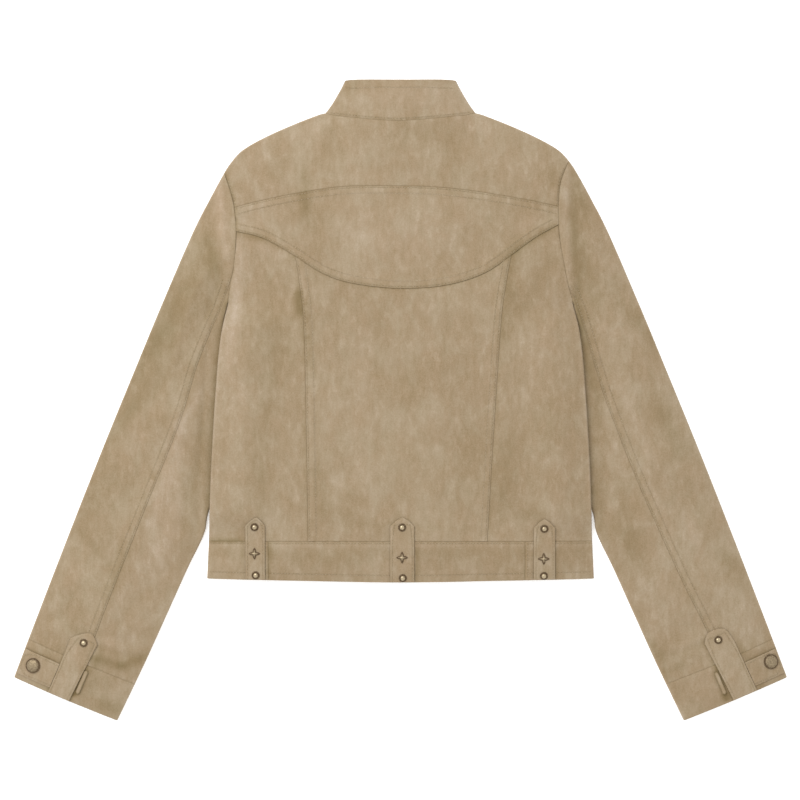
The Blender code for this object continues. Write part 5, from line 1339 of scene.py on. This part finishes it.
def make_cuff_trims(side):
    sign, cuff = SIDES[side], f"cuff_{side}"
    ground = Ground(cuff, f"sleeve_upper_back_{side}", f"sleeve_under_{side}")
    top, bottom = (np.array(on_side(CUFF_TAB[side][key], side)) for key in ("top", "bottom"))
    end_line = shifted(on_side(CUFF_END, side), -sign * TAB_FOOT)
    feet = [crossing(ends, end_line) for ends in zip(top[::3], bottom)]
    make_tab(f"cuff_tab_{side}", feet, Path(top).points, top, sign, ground)

    # the strap, between the outer fold and the tab
    upper = shifted(on_side(CUFF_SEAM, side), sign * CUFF_STRAP_INSET)
    lower = shifted(on_side(CUFF_END, side), -sign * CUFF_STRAP_END)
    fold = shifted(on_side(SHOULDER_AND_SLEEVE[:-3:-1], side), sign * CUFF_STRAP_EDGE)
    beside = shifted((feet[0], top[0]), -sign * CUFF_STRAP_TO_TAB)
    low_out, low_in = (crossing(lower, line) for line in (fold, beside))
    high_out, high_in = (crossing(upper, line) for line in (fold, beside))
    south = straight(low_out, low_in)
    plan = Plan(south, straight(high_out, high_in), straight(low_out, high_out), straight(low_in, high_in))
    corners = [low_in, low_out, high_out, high_in]
    trim(f"cuff_strap_{side}", plan, Path(corners, smooth=False), corners, sign, ground, south)

    # the keeper, with a round end at each side
    line = on_side(CUFF_KEEPER[side], side)
    outer, inner = (shifted(line, sign * way * KEEPER_WIDTH / 2) for way in (1, -1))
    ends = []
    for k, way in ((1, sign), (0, -sign)):
        middle = (outer[k] + inner[k]) / 2 + leftward(inner[k] - outer[k]) * way * KEEPER_ROUND
        ends.append(Path([outer[k], middle, inner[k]]))
    plan = Plan(*ends, straight(outer[1], outer[0]), straight(inner[1], inner[0]))
    outline = Path([*ends[1].points, *ends[0].points[::-1], outer[0]], smooth=False)
    trim(f"cuff_keeper_{side}", plan, outline, None, 0, ground, edge_shade=KEEPER_SHADE)


# ---------------------------------------------------------------- metal

SINK = 0.15  # metal is pressed this far into the suede
# Profiles of the turned pieces, as shares of radius and height, from the top down; share of patina
STUD_PROFILE = (
    (0.0, 1.0, 0.0), (0.16, 0.985, 0.0), (0.32, 0.92, 0.05), (0.46, 0.80, 0.15), (0.56, 0.62, 0.4),
    (0.62, 0.44, 0.9), (0.66, 0.33, 1.0), (0.74, 0.32, 1.0), (0.84, 0.36, 0.85), (0.93, 0.33, 0.7),
    (1.0, 0.20, 1.0), (1.0, 0.0, 1.0),
)
SNAP_PROFILE = (
    (0.0, 1.0, 0.44), (0.25, 0.985, 0.44), (0.45, 0.94, 0.47), (0.62, 0.86, 0.50), (0.74, 0.74, 0.56),
    (0.82, 0.60, 0.6), (0.86, 0.48, 1.0), (0.89, 0.46, 1.0), (0.92, 0.52, 0.75), (0.95, 0.52, 0.7),
    (0.98, 0.42, 0.8), (1.0, 0.30, 0.9), (1.0, 0.0, 1.0),
)
STUD_HEIGHT, SNAP_HEIGHT = 2.6, 3.4
SEAT_SHARE = 0.8  # a turned piece stands on this share of its radius
MERGE_DISTANCE = 0.000005
STAR_WAIST, STAR_RIM, STAR_HEIGHT = 2.7, 0.7, 2.2
STAR_SEGMENTS = 64
STAR_HOLLOW = 1.35  # how fast the points narrow
STAR_EDGE = 0.60  # the dark outline starts at this share of the way out
STAR_PATINA = 0.72  # on that outline; the rim is dark and the middle bright
STAR_LEVEL = 0.1  # corners this close to a level belong to it


def metal_object(node, shape, patina, place, lean):
    """A piece of metal with its patina, set down at its place."""
    mesh = mesh_of(f"{node}_brass", shape)
    marked(mesh, "patina", patina)
    mesh.transform(Matrix.Translation(place) @ lean.to_matrix().to_4x4())
    mesh.materials.append(finish("antique_brass_metal", paint_brass))
    made = placed(f"{node}_brass", mesh)
    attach(made, "root")
    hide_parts(node)


def turned(node, profile, radius, height, ground, x, y):
    """A piece of metal turned about its axis, on the ground at a point."""
    shape = bmesh.new()
    heights = [high * height - SINK * MM for _, high, _ in profile]
    corners = [shape.verts.new((row[0] * radius, 0.0, z)) for row, z in zip(profile, heights)]
    edges = [shape.edges.new(pair) for pair in zip(corners, corners[1:])]
    bmesh.ops.spin(shape, geom=corners + edges, cent=(0, 0, 0), axis=(0, 0, 1), angle=2 * math.pi,
                   steps=bpy.context.scene.jacket_metal.turn_steps, use_merge=True, use_normal_flip=False)
    bmesh.ops.remove_doubles(shape, verts=shape.verts, dist=MERGE_DISTANCE)
    bmesh.ops.recalc_face_normals(shape, faces=shape.faces)
    patina = []
    for vertex in shape.verts:
        out = math.hypot(vertex.co.x, vertex.co.y) / radius
        apart = [abs(row[0] - out) + abs(z - vertex.co.z) / height for row, z in zip(profile, heights)]
        patina.append(profile[apart.index(min(apart))][2])
    for face in shape.faces:
        face.smooth = True
    metal_object(node, shape, patina, *ground.seat(x, y, radius / MM * SEAT_SHARE))


def star(node, ground, x, y):
    """A four-point star with hollow sides and a ridge along each point."""
    reach, dome_height = bpy.context.scene.jacket_metal.star_point, (STAR_HEIGHT - STAR_RIM) * MM
    shape = bmesh.new()
    ring = bmesh.ops.create_circle(shape, segments=STAR_SEGMENTS, radius=1.0, cap_ends=True)["verts"]
    for vertex in ring:
        angle = math.atan2(vertex.co.y, vertex.co.x)
        from_tip = abs((angle + math.pi / 4) % (math.pi / 2) - math.pi / 4) / (math.pi / 4)
        radius = STAR_WAIST * MM + (reach - STAR_WAIST * MM) * (1 - from_tip) ** STAR_HOLLOW
        vertex.co = vertex.co.normalized() * radius
    body = bmesh.ops.extrude_face_region(shape, geom=shape.faces[:])["geom"]
    bmesh.ops.translate(shape, vec=(0.0, 0.0, STAR_RIM * MM), verts=corners_of(body))
    top = only(bmesh.types.BMFace, body)
    inner = bmesh.ops.extrude_face_region(shape, geom=top)["geom"]
    bmesh.ops.delete(shape, geom=top, context="FACES_ONLY")
    bmesh.ops.scale(shape, vec=(STAR_EDGE, STAR_EDGE, 1.0), verts=corners_of(inner))
    bmesh.ops.translate(shape, vec=(0.0, 0.0, dome_height * (1 - STAR_EDGE)), verts=corners_of(inner))
    middle = bmesh.ops.poke(shape, faces=only(bmesh.types.BMFace, inner))["verts"]
    bmesh.ops.translate(shape, vec=(0.0, 0.0, dome_height * STAR_EDGE), verts=middle)
    bmesh.ops.recalc_face_normals(shape, faces=shape.faces)
    heights = [vertex.co.z / MM for vertex in shape.verts]
    patina = [1.0 if z < STAR_RIM + STAR_LEVEL else 0.0 if z > STAR_HEIGHT - STAR_LEVEL else STAR_PATINA
              for z in heights]
    bmesh.ops.translate(shape, vec=(0.0, 0.0, -SINK * MM), verts=shape.verts)
    metal_object(node, shape, patina, *ground.seat(x, y, STAR_WAIST))


def make_metal():
    look = bpy.context.scene.jacket_metal
    stud = STUD_PROFILE, look.stud_radius, STUD_HEIGHT * MM
    snap = SNAP_PROFILE, look.snap_radius, SNAP_HEIGHT * MM
    for place, tab in HEM_TABS.items():
        ground = Ground(f"hem_tab_{place}")
        for key in ("upper", "lower"):
            turned(f"hem_stud_{key}_{place}", *stud, ground, *tab[key])
        star(f"hem_star_{place}", ground, *tab["star"])
    for side in SIDES:
        places = on_side((CUFF_TAB[side]["stud"], CUFF_SNAP[side]), side)
        turned(f"cuff_stud_{side}", *stud, Ground(f"cuff_tab_{side}"), *places[0])
        turned(f"cuff_snap_{side}", *snap, Ground(f"cuff_strap_{side}"), *places[1])


# ---------------------------------------------------------------- stitching

STITCH_SEGMENTS, STITCH_RINGS = 6, 5
STITCH_SINK = 0.1
STITCH_SWAY, SWAY_STEP = 0.05, 2.4  # turns of a stitch about the row's course, in radians
COVER_STEP = 0.05  # a stitch that lies deeper than this under a trim is left out


def capsule():
    """Points and faces of one stitch, one millimetre long and wide."""
    shape = bmesh.new()
    bmesh.ops.create_uvsphere(shape, u_segments=STITCH_SEGMENTS, v_segments=STITCH_RINGS, radius=0.5)
    shape.verts.index_update()
    points = np.array([vertex.co[:] for vertex in shape.verts])
    faces = [[vertex.index for vertex in face.verts] for face in shape.faces]
    shape.free()
    return points[:, (2, 0, 1)], faces  # long along x


def stitch_places(path, surface, covers):
    """Ends of each stitch of a row on a surface, where nothing covers it."""
    look = bpy.context.scene.jacket_thread
    length, pitch = look.length / MM, look.pitch / MM
    count = int(path.length / pitch)
    starts = (path.length - count * pitch) / 2 + pitch * np.arange(count)
    made = []
    for first, last in zip(path(starts / path.length), path((starts + length) / path.length)):
        middle = (first + last) / 2
        level, over = surface.height(*middle), covers.height(*middle) if covers else None
        ends = [surface.height(*end) for end in (first, last)]
        if level is None or None in ends or (over is not None and over > level + COVER_STEP):
            continue
        made.append((*first, ends[0], *last, ends[1]))
    return made


def stitches(name, pieces, covers=None):
    """Every stitch of some pieces as one mesh."""
    look = bpy.context.scene.jacket_thread
    places = []
    for piece in pieces:
        surface = Ground(piece)
        for path in STITCH_ROWS[piece]:
            places += stitch_places(path, surface, covers)
    places = np.array(places)
    first, last = places[:, :3], places[:, 3:]
    course = (last - first) / np.linalg.norm(last - first, axis=1)[:, None]
    turn = STITCH_SWAY * np.sin(np.arange(len(places)) * SWAY_STEP)
    course[:, :2] += np.stack([-course[:, 1], course[:, 0]], -1) * turn[:, None]
    across = np.pad(leftward(course[:, :2]), ((0, 0), (0, 1)))
    up = np.cross(course, across)
    points, faces = capsule()
    length, width = look.length / MM, 2 * look.radius / MM
    corners = (points[None, :, :1] * course[:, None] * length + points[None, :, 1:2] * across[:, None] * width
               + points[None, :, 2:] * up[:, None] * width)
    corners += ((first + last) / 2 + up * STITCH_SINK)[:, None]
    all_faces = [[corner + k * len(points) for corner in face] for k in range(len(places)) for face in faces]
    mesh = bpy.data.meshes.new(name)
    mesh.from_pydata((corners.reshape(-1, 3) * MM).tolist(), [], all_faces)
    mesh.shade_smooth()
    mesh.materials.append(finish("thread", paint_thread))
    made = placed(name, mesh)
    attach(made, "root")


def make_stitching():
    trims = [name for name in STITCH_ROWS if name.startswith(TRIM_NODES)]
    covers = Ground(*trims)
    stitches("body_stitches", ("back_yoke_upper", "back_yoke_curved", "back_centre", "collar"))
    stitches("hem_stitches", ("hem_band_back", "hem_band_left", "hem_band_right"), covers)
    for side in SIDES:
        over = Ground(f"back_side_{side}", *trims)
        stitches(f"sleeve_stitches_{side}", (f"sleeve_upper_back_{side}", f"cuff_{side}"), over)
    stitches("trim_stitches", trims)


# ---------------------------------------------------------------- materials

# Noises of the nap: scale along x, scale across it, detail, roughness, distortion
NAP_NOISES = {
    "Clouds": (7.5, 7.5, 3.0, 0.55, 0.3), "Patches": (46.0, 26.0, 4.0, 0.6, 0.4),
    "Blots": (130.0, 68.0, 4.0, 0.62, 0.2), "Streaks": (230.0, 60.0, 4.0, 0.65, 0.0),
    "Fuzz": (520.0, 520.0, 4.0, 0.7, 0.0), "Fine": (1700.0, 1700.0, 2.0, 0.6, 0.0),
}
# Each of the group's outputs runs from 0 to 1 over this range of its noise
NAP_RANGES = {"Clouds": (0.36, 0.64), "Patches": (0.34, 0.66), "Blots": (0.30, 0.70),
              "Streaks": (0.30, 0.70), "Grain": (0.30, 0.70)}
FUZZ_SHARE, BLOT_HEIGHT = 0.5, 0.6
# Colours over the clouds: what they follow, where they start and are full, how much, and the colour
NAP_COLOURS = (("Patches", 0.45, 1.0, 0.5, "olive"), ("Patches", 0.5, 0.0, 0.5, "rose"),
               ("Blots", 0.6, 1.0, 0.35, "light"), ("Blots", 0.4, 0.0, 0.30, "shade"))
NAP_TONES = {"Streaks": 0.06, "Grain": 0.17, "Patches": 0.045, "Blots": 0.045}
# Row paints shade into the stitch dents, tone carries nap tone with painted shadow and highlight, fold is
# lighter near folded edges
# Marks that darken or lighten the nap: from, to, tone at the first, tone at the second, smooth
MARK_TONES = {"row": (0.25, 1.2, 0.84, 1.0, True), "tone": (-0.5, 0.4, 0.5, 1.4, False),
              "fold": (0.5, 4.0, 1.08, 1.0, True)}
WARM_DARKS, COOL_DARKS = 0.92, 1.5  # powers of the tone in red and in blue
ROW_DENT, ROW_DENT_REACH = 0.5, 1.2
SUEDE_BUMP, SUEDE_BUMP_DEPTH = 0.22, 0.0006
BRASS_BUMP, BRASS_BUMP_DEPTH = 0.25, 0.0001
SHEEN_COLOUR = (0.80, 0.70, 0.55, 1.0)


def fill(tree, node, inputs):
    """Sets a node's inputs, or links them where the value is a socket."""
    for key, value in inputs.items():
        if isinstance(value, bpy.types.NodeSocket):
            tree.links.new(value, node.inputs[key])
        else:
            node.inputs[key].default_value = value


def shader_node(tree, kind, inputs=None, **settings):
    made = tree.nodes.new(f"ShaderNode{kind}")
    for key, value in settings.items():
        setattr(made, key, value)
    fill(tree, made, inputs or {})
    return made


def noise(tree, vector, scale, detail, roughness=0.55, distortion=0.0):
    return shader_node(tree, "TexNoise", {
        "Vector": vector, "Scale": scale, "Detail": detail, "Roughness": roughness,
        "Distortion": distortion}).outputs["Fac"]


def spread(tree, value, low, high, to_low=0.0, to_high=1.0, smooth=False):
    """Maps a range of a value to another, and stops at its ends."""
    return shader_node(tree, "MapRange", {
        "Value": value, "From Min": low, "From Max": high, "To Min": to_low, "To Max": to_high},
        interpolation_type="SMOOTHSTEP" if smooth else "LINEAR").outputs["Result"]


def math_node(tree, operation, first, second):
    return shader_node(tree, "Math", {0: first, 1: second}, operation=operation).outputs["Value"]


def mixed(tree, factor, first, second, blend="MIX"):
    return shader_node(tree, "Mix", {0: factor, 6: first, 7: second},
                       data_type="RGBA", blend_type=blend).outputs[2]


def mark(tree, name):
    return shader_node(tree, "Attribute", attribute_name=name).outputs["Fac"]


def object_place(tree):
    return shader_node(tree, "TexCoord").outputs["Object"]


def bumped(tree, strength, distance, height):
    return shader_node(tree, "Bump", {
        "Strength": strength, "Distance": distance, "Height": height}).outputs["Normal"]


def finish(name, paint):
    """A material by name. It is made the first time, with the shader inputs that paint gives."""
    made = bpy.data.materials.get(name)
    if made is None:
        made = bpy.data.materials.new(name)
        made.use_nodes = True
        tree = made.node_tree
        fill(tree, tree.nodes["Principled BSDF"], paint(tree))
    return made


def nap_group():
    """Clouds, patches, blots, streaks and grain of brushed suede at a place, and the nap's height."""
    tree = bpy.data.node_groups.new("suede_nap", "ShaderNodeTree")
    tree.interface.new_socket("Place", in_out="INPUT", socket_type="NodeSocketVector")
    for name in (*NAP_RANGES, "Height"):
        tree.interface.new_socket(name, in_out="OUTPUT", socket_type="NodeSocketFloat")
    place = tree.nodes.new("NodeGroupInput").outputs["Place"]
    made = {}
    for name, (along, across, *kind) in NAP_NOISES.items():
        scaled = shader_node(tree, "Mapping", {"Vector": place, "Scale": (along, across, across)})
        made[name] = noise(tree, scaled.outputs["Vector"], 1.0, *kind)
    made["Grain"] = math_node(tree, "ADD", math_node(tree, "MULTIPLY", made["Fuzz"], FUZZ_SHARE),
                              math_node(tree, "MULTIPLY", made["Fine"], 1 - FUZZ_SHARE))
    out = {name: spread(tree, made[name], low, high) for name, (low, high) in NAP_RANGES.items()}
    raised = math_node(tree, "MULTIPLY", made["Blots"], BLOT_HEIGHT)
    out["Height"] = math_node(tree, "ADD", made["Grain"], raised)
    fill(tree, tree.nodes.new("NodeGroupOutput"), out)
    return tree


def paint_suede(tree):
    look = bpy.context.scene.jacket_suede
    hide = shader_node(tree, "CombineXYZ", {"Z": mark(tree, "hide")}).outputs["Vector"]
    place = shader_node(tree, "VectorMath", {0: object_place(tree), 1: hide}, operation="ADD")
    group = shader_node(tree, "Group", node_tree=nap_group())
    fill(tree, group, {"Place": place.outputs["Vector"]})
    nap = group.outputs
    colour = mixed(tree, nap["Clouds"], look.shade, look.tan)
    for name, low, high, most, over in NAP_COLOURS:
        colour = mixed(tree, spread(tree, nap[name], low, high, 0.0, most), colour, getattr(look, over))
    tone = 1.0
    for name, swing in NAP_TONES.items():
        tone = math_node(tree, "ADD", tone, spread(tree, nap[name], 0.0, 1.0, -swing, swing))
    # The marks darken the seams, paint shade into the stitch dents, add the painted shading of the tone mark
    # and lighten folded edges
    marks = {"seam": (0.0, 1.0, 1.0, 1.0 - look.seam_shade), **MARK_TONES}
    for name, values in marks.items():
        tone = math_node(tree, "MULTIPLY", tone, spread(tree, mark(tree, name), *values))
    warm = shader_node(tree, "CombineXYZ", {
        "X": math_node(tree, "POWER", tone, WARM_DARKS), "Y": tone,
        "Z": math_node(tree, "POWER", tone, COOL_DARKS)})
    dents = spread(tree, mark(tree, "row"), 0.0, ROW_DENT_REACH, -ROW_DENT, 0.0, True)
    height = math_node(tree, "ADD", nap["Height"], dents)
    return {"Base Color": mixed(tree, 1.0, colour, warm.outputs["Vector"], "MULTIPLY"),
            "Normal": bumped(tree, SUEDE_BUMP, SUEDE_BUMP_DEPTH, height),
            "Roughness": look.roughness, "Specular IOR Level": 0.15, "Sheen Weight": look.sheen,
            "Sheen Roughness": 0.55, "Sheen Tint": SHEEN_COLOUR}


def paint_thread(tree):
    look = bpy.context.scene.jacket_thread
    # A noise mixes in the thread shade, painted shade between the plies
    twist = spread(tree, noise(tree, object_place(tree), 900.0, 2.0), 0.35, 0.65)
    return {"Base Color": mixed(tree, twist, look.shade, look.colour), "Roughness": 0.7, "Sheen Weight": 0.2}


def paint_brass(tree):
    look = bpy.context.scene.jacket_metal
    cloud = noise(tree, object_place(tree), 700.0, 4.0, 0.6)
    dark = math_node(tree, "ADD", mark(tree, "patina"), spread(tree, cloud, 0.35, 0.70, -0.10, 0.30))
    dark = spread(tree, dark, 0.05, 0.95)
    return {"Base Color": mixed(tree, dark, look.brass, look.patina),
            "Roughness": spread(tree, dark, 0.0, 1.0, 0.30, 0.68),
            "Metallic": spread(tree, dark, 0.4, 1.0, 1.0, 0.55),
            "Normal": bumped(tree, BRASS_BUMP, BRASS_BUMP_DEPTH, cloud)}


def paint_floor(tree):
    look = bpy.context.scene.jacket_stage
    return {"Base Color": look.floor_colour, "Roughness": 0.9, "Emission Color": look.floor_colour,
            "Emission Strength": look.floor_glow}


# ---------------------------------------------------------------- stage

CAMERA_X, CAMERA_Y = -0.0006, 0.0003
CAMERA_SENSOR = 36.0
FLOOR_DROP = 0.0003
KEY_PLACE, KEY_SIZE = (-1.25, 1.15, 2.1), 1.5


def make_stage():
    scene, look = bpy.context.scene, bpy.context.scene.jacket_stage
    shape = bmesh.new()
    bmesh.ops.create_grid(shape, x_segments=1, y_segments=1, size=look.floor_size / 2)
    bmesh.ops.translate(shape, vec=(0.0, 0.0, -FLOOR_DROP), verts=shape.verts)
    floor = placed("floor", mesh_of("floor", shape))
    floor.data.materials.append(finish("pale_floor", paint_floor))

    key = placed("key", bpy.data.lights.new("key", "AREA"))
    key.data.energy, key.data.size = look.key, KEY_SIZE
    key.location, key.rotation_euler = KEY_PLACE, (-Vector(KEY_PLACE)).to_track_quat("-Z", "Y").to_euler()

    scene.world = bpy.data.worlds.new("studio")
    scene.world.use_nodes = True
    sky = {"Strength": look.sky, "Color": (1.0, 1.0, 1.0, 1.0)}
    fill(scene.world.node_tree, scene.world.node_tree.nodes["Background"], sky)
    scene.view_settings.view_transform = "Standard"

    scene.camera = placed("camera", bpy.data.cameras.new("camera"))
    scene.camera.data.lens, scene.camera.data.sensor_width = look.lens, CAMERA_SENSOR
    scene.camera.location = (CAMERA_X, CAMERA_Y, look.camera_height)


# ---------------------------------------------------------------- operators


class JACKET_OT_back(bpy.types.Operator):
    """Lay the yokes and the back panels"""

    bl_idname = "jacket.back"
    bl_label = "Back"

    def execute(self, context):
        make_back()
        return {"FINISHED"}


class JACKET_OT_fronts(bpy.types.Operator):
    """Lay the fronts under the back"""

    bl_idname = "jacket.fronts"
    bl_label = "Fronts"

    def execute(self, context):
        make_fronts()
        return {"FINISHED"}


class JACKET_OT_hem_band(bpy.types.Operator):
    """Sew the hem band round the body"""

    bl_idname = "jacket.hem_band"
    bl_label = "Hem Band"

    def execute(self, context):
        make_hem_band()
        return {"FINISHED"}


class JACKET_OT_collar(bpy.types.Operator):
    """Sew the stand collar round the neck"""

    bl_idname = "jacket.collar"
    bl_label = "Collar"

    def execute(self, context):
        make_collar()
        return {"FINISHED"}


class JACKET_OT_sleeves(bpy.types.Operator):
    """Sew both sleeves with their cuffs"""

    bl_idname = "jacket.sleeves"
    bl_label = "Sleeves"

    def execute(self, context):
        for side in SIDES:
            make_sleeve(side)
            make_cuff(side)
        return {"FINISHED"}


class JACKET_OT_hem_tabs(bpy.types.Operator):
    """Sew the three pointed tabs over the hem band"""

    bl_idname = "jacket.hem_tabs"
    bl_label = "Hem Tabs"

    def execute(self, context):
        make_hem_tabs()
        return {"FINISHED"}


class JACKET_OT_cuff_trims(bpy.types.Operator):
    """Sew the tab, strap and keeper on each cuff"""

    bl_idname = "jacket.cuff_trims"
    bl_label = "Cuff Trims"

    def execute(self, context):
        for side in SIDES:
            make_cuff_trims(side)
        return {"FINISHED"}


class JACKET_OT_metal(bpy.types.Operator):
    """Set the studs, stars and snaps"""

    bl_idname = "jacket.metal"
    bl_label = "Metal"

    def execute(self, context):
        make_metal()
        return {"FINISHED"}


class JACKET_OT_stitching(bpy.types.Operator):
    """Stitch the rows beside the seams and round the tabs"""

    bl_idname = "jacket.stitching"
    bl_label = "Stitching"

    def execute(self, context):
        make_stitching()
        return {"FINISHED"}


class JACKET_OT_stage(bpy.types.Operator):
    """Set the floor, the lights and the camera"""

    bl_idname = "jacket.stage"
    bl_label = "Stage"

    def execute(self, context):
        make_stage()
        return {"FINISHED"}


class JACKET_PT_panel(bpy.types.Panel):
    """Steps of the jacket, in order"""

    bl_idname = "JACKET_PT_panel"
    bl_label = "Suede Jacket"
    bl_space_type = "VIEW_3D"
    bl_region_type = "UI"
    bl_category = "Jacket"

    def draw(self, context):
        for operator in OPERATORS:
            self.layout.operator(operator.bl_idname)
        for name, group in GROUPS.items():
            box = self.layout.box()
            box.label(text=group.__doc__)
            for key in group.__annotations__:
                box.prop(getattr(context.scene, name), key)


GROUPS = {"jacket_cloth": JacketCloth, "jacket_suede": JacketSuede, "jacket_thread": JacketThread,
          "jacket_metal": JacketMetal, "jacket_stage": JacketStage}
OPERATORS = (JACKET_OT_back, JACKET_OT_fronts, JACKET_OT_hem_band, JACKET_OT_collar, JACKET_OT_sleeves,
             JACKET_OT_hem_tabs, JACKET_OT_cuff_trims, JACKET_OT_metal, JACKET_OT_stitching, JACKET_OT_stage)


def register():
    for made in (*GROUPS.values(), *OPERATORS, JACKET_PT_panel):
        bpy.utils.register_class(made)
    for name, group in GROUPS.items():
        setattr(bpy.types.Scene, name, PointerProperty(type=group))


def unregister():
    for name in GROUPS:
        delattr(bpy.types.Scene, name)
    for made in (JACKET_PT_panel, *reversed(OPERATORS), *GROUPS.values()):
        bpy.utils.unregister_class(made)


def main():
    register()
    draw_stitch_rows()
    bpy.ops.jacket.back()
    bpy.ops.jacket.fronts()
    bpy.ops.jacket.hem_band()
    bpy.ops.jacket.collar()
    bpy.ops.jacket.sleeves()
    bpy.ops.jacket.hem_tabs()
    bpy.ops.jacket.cuff_trims()
    bpy.ops.jacket.metal()
    bpy.ops.jacket.stitching()
    bpy.ops.jacket.stage()


if __name__ == "__main__":
    main()
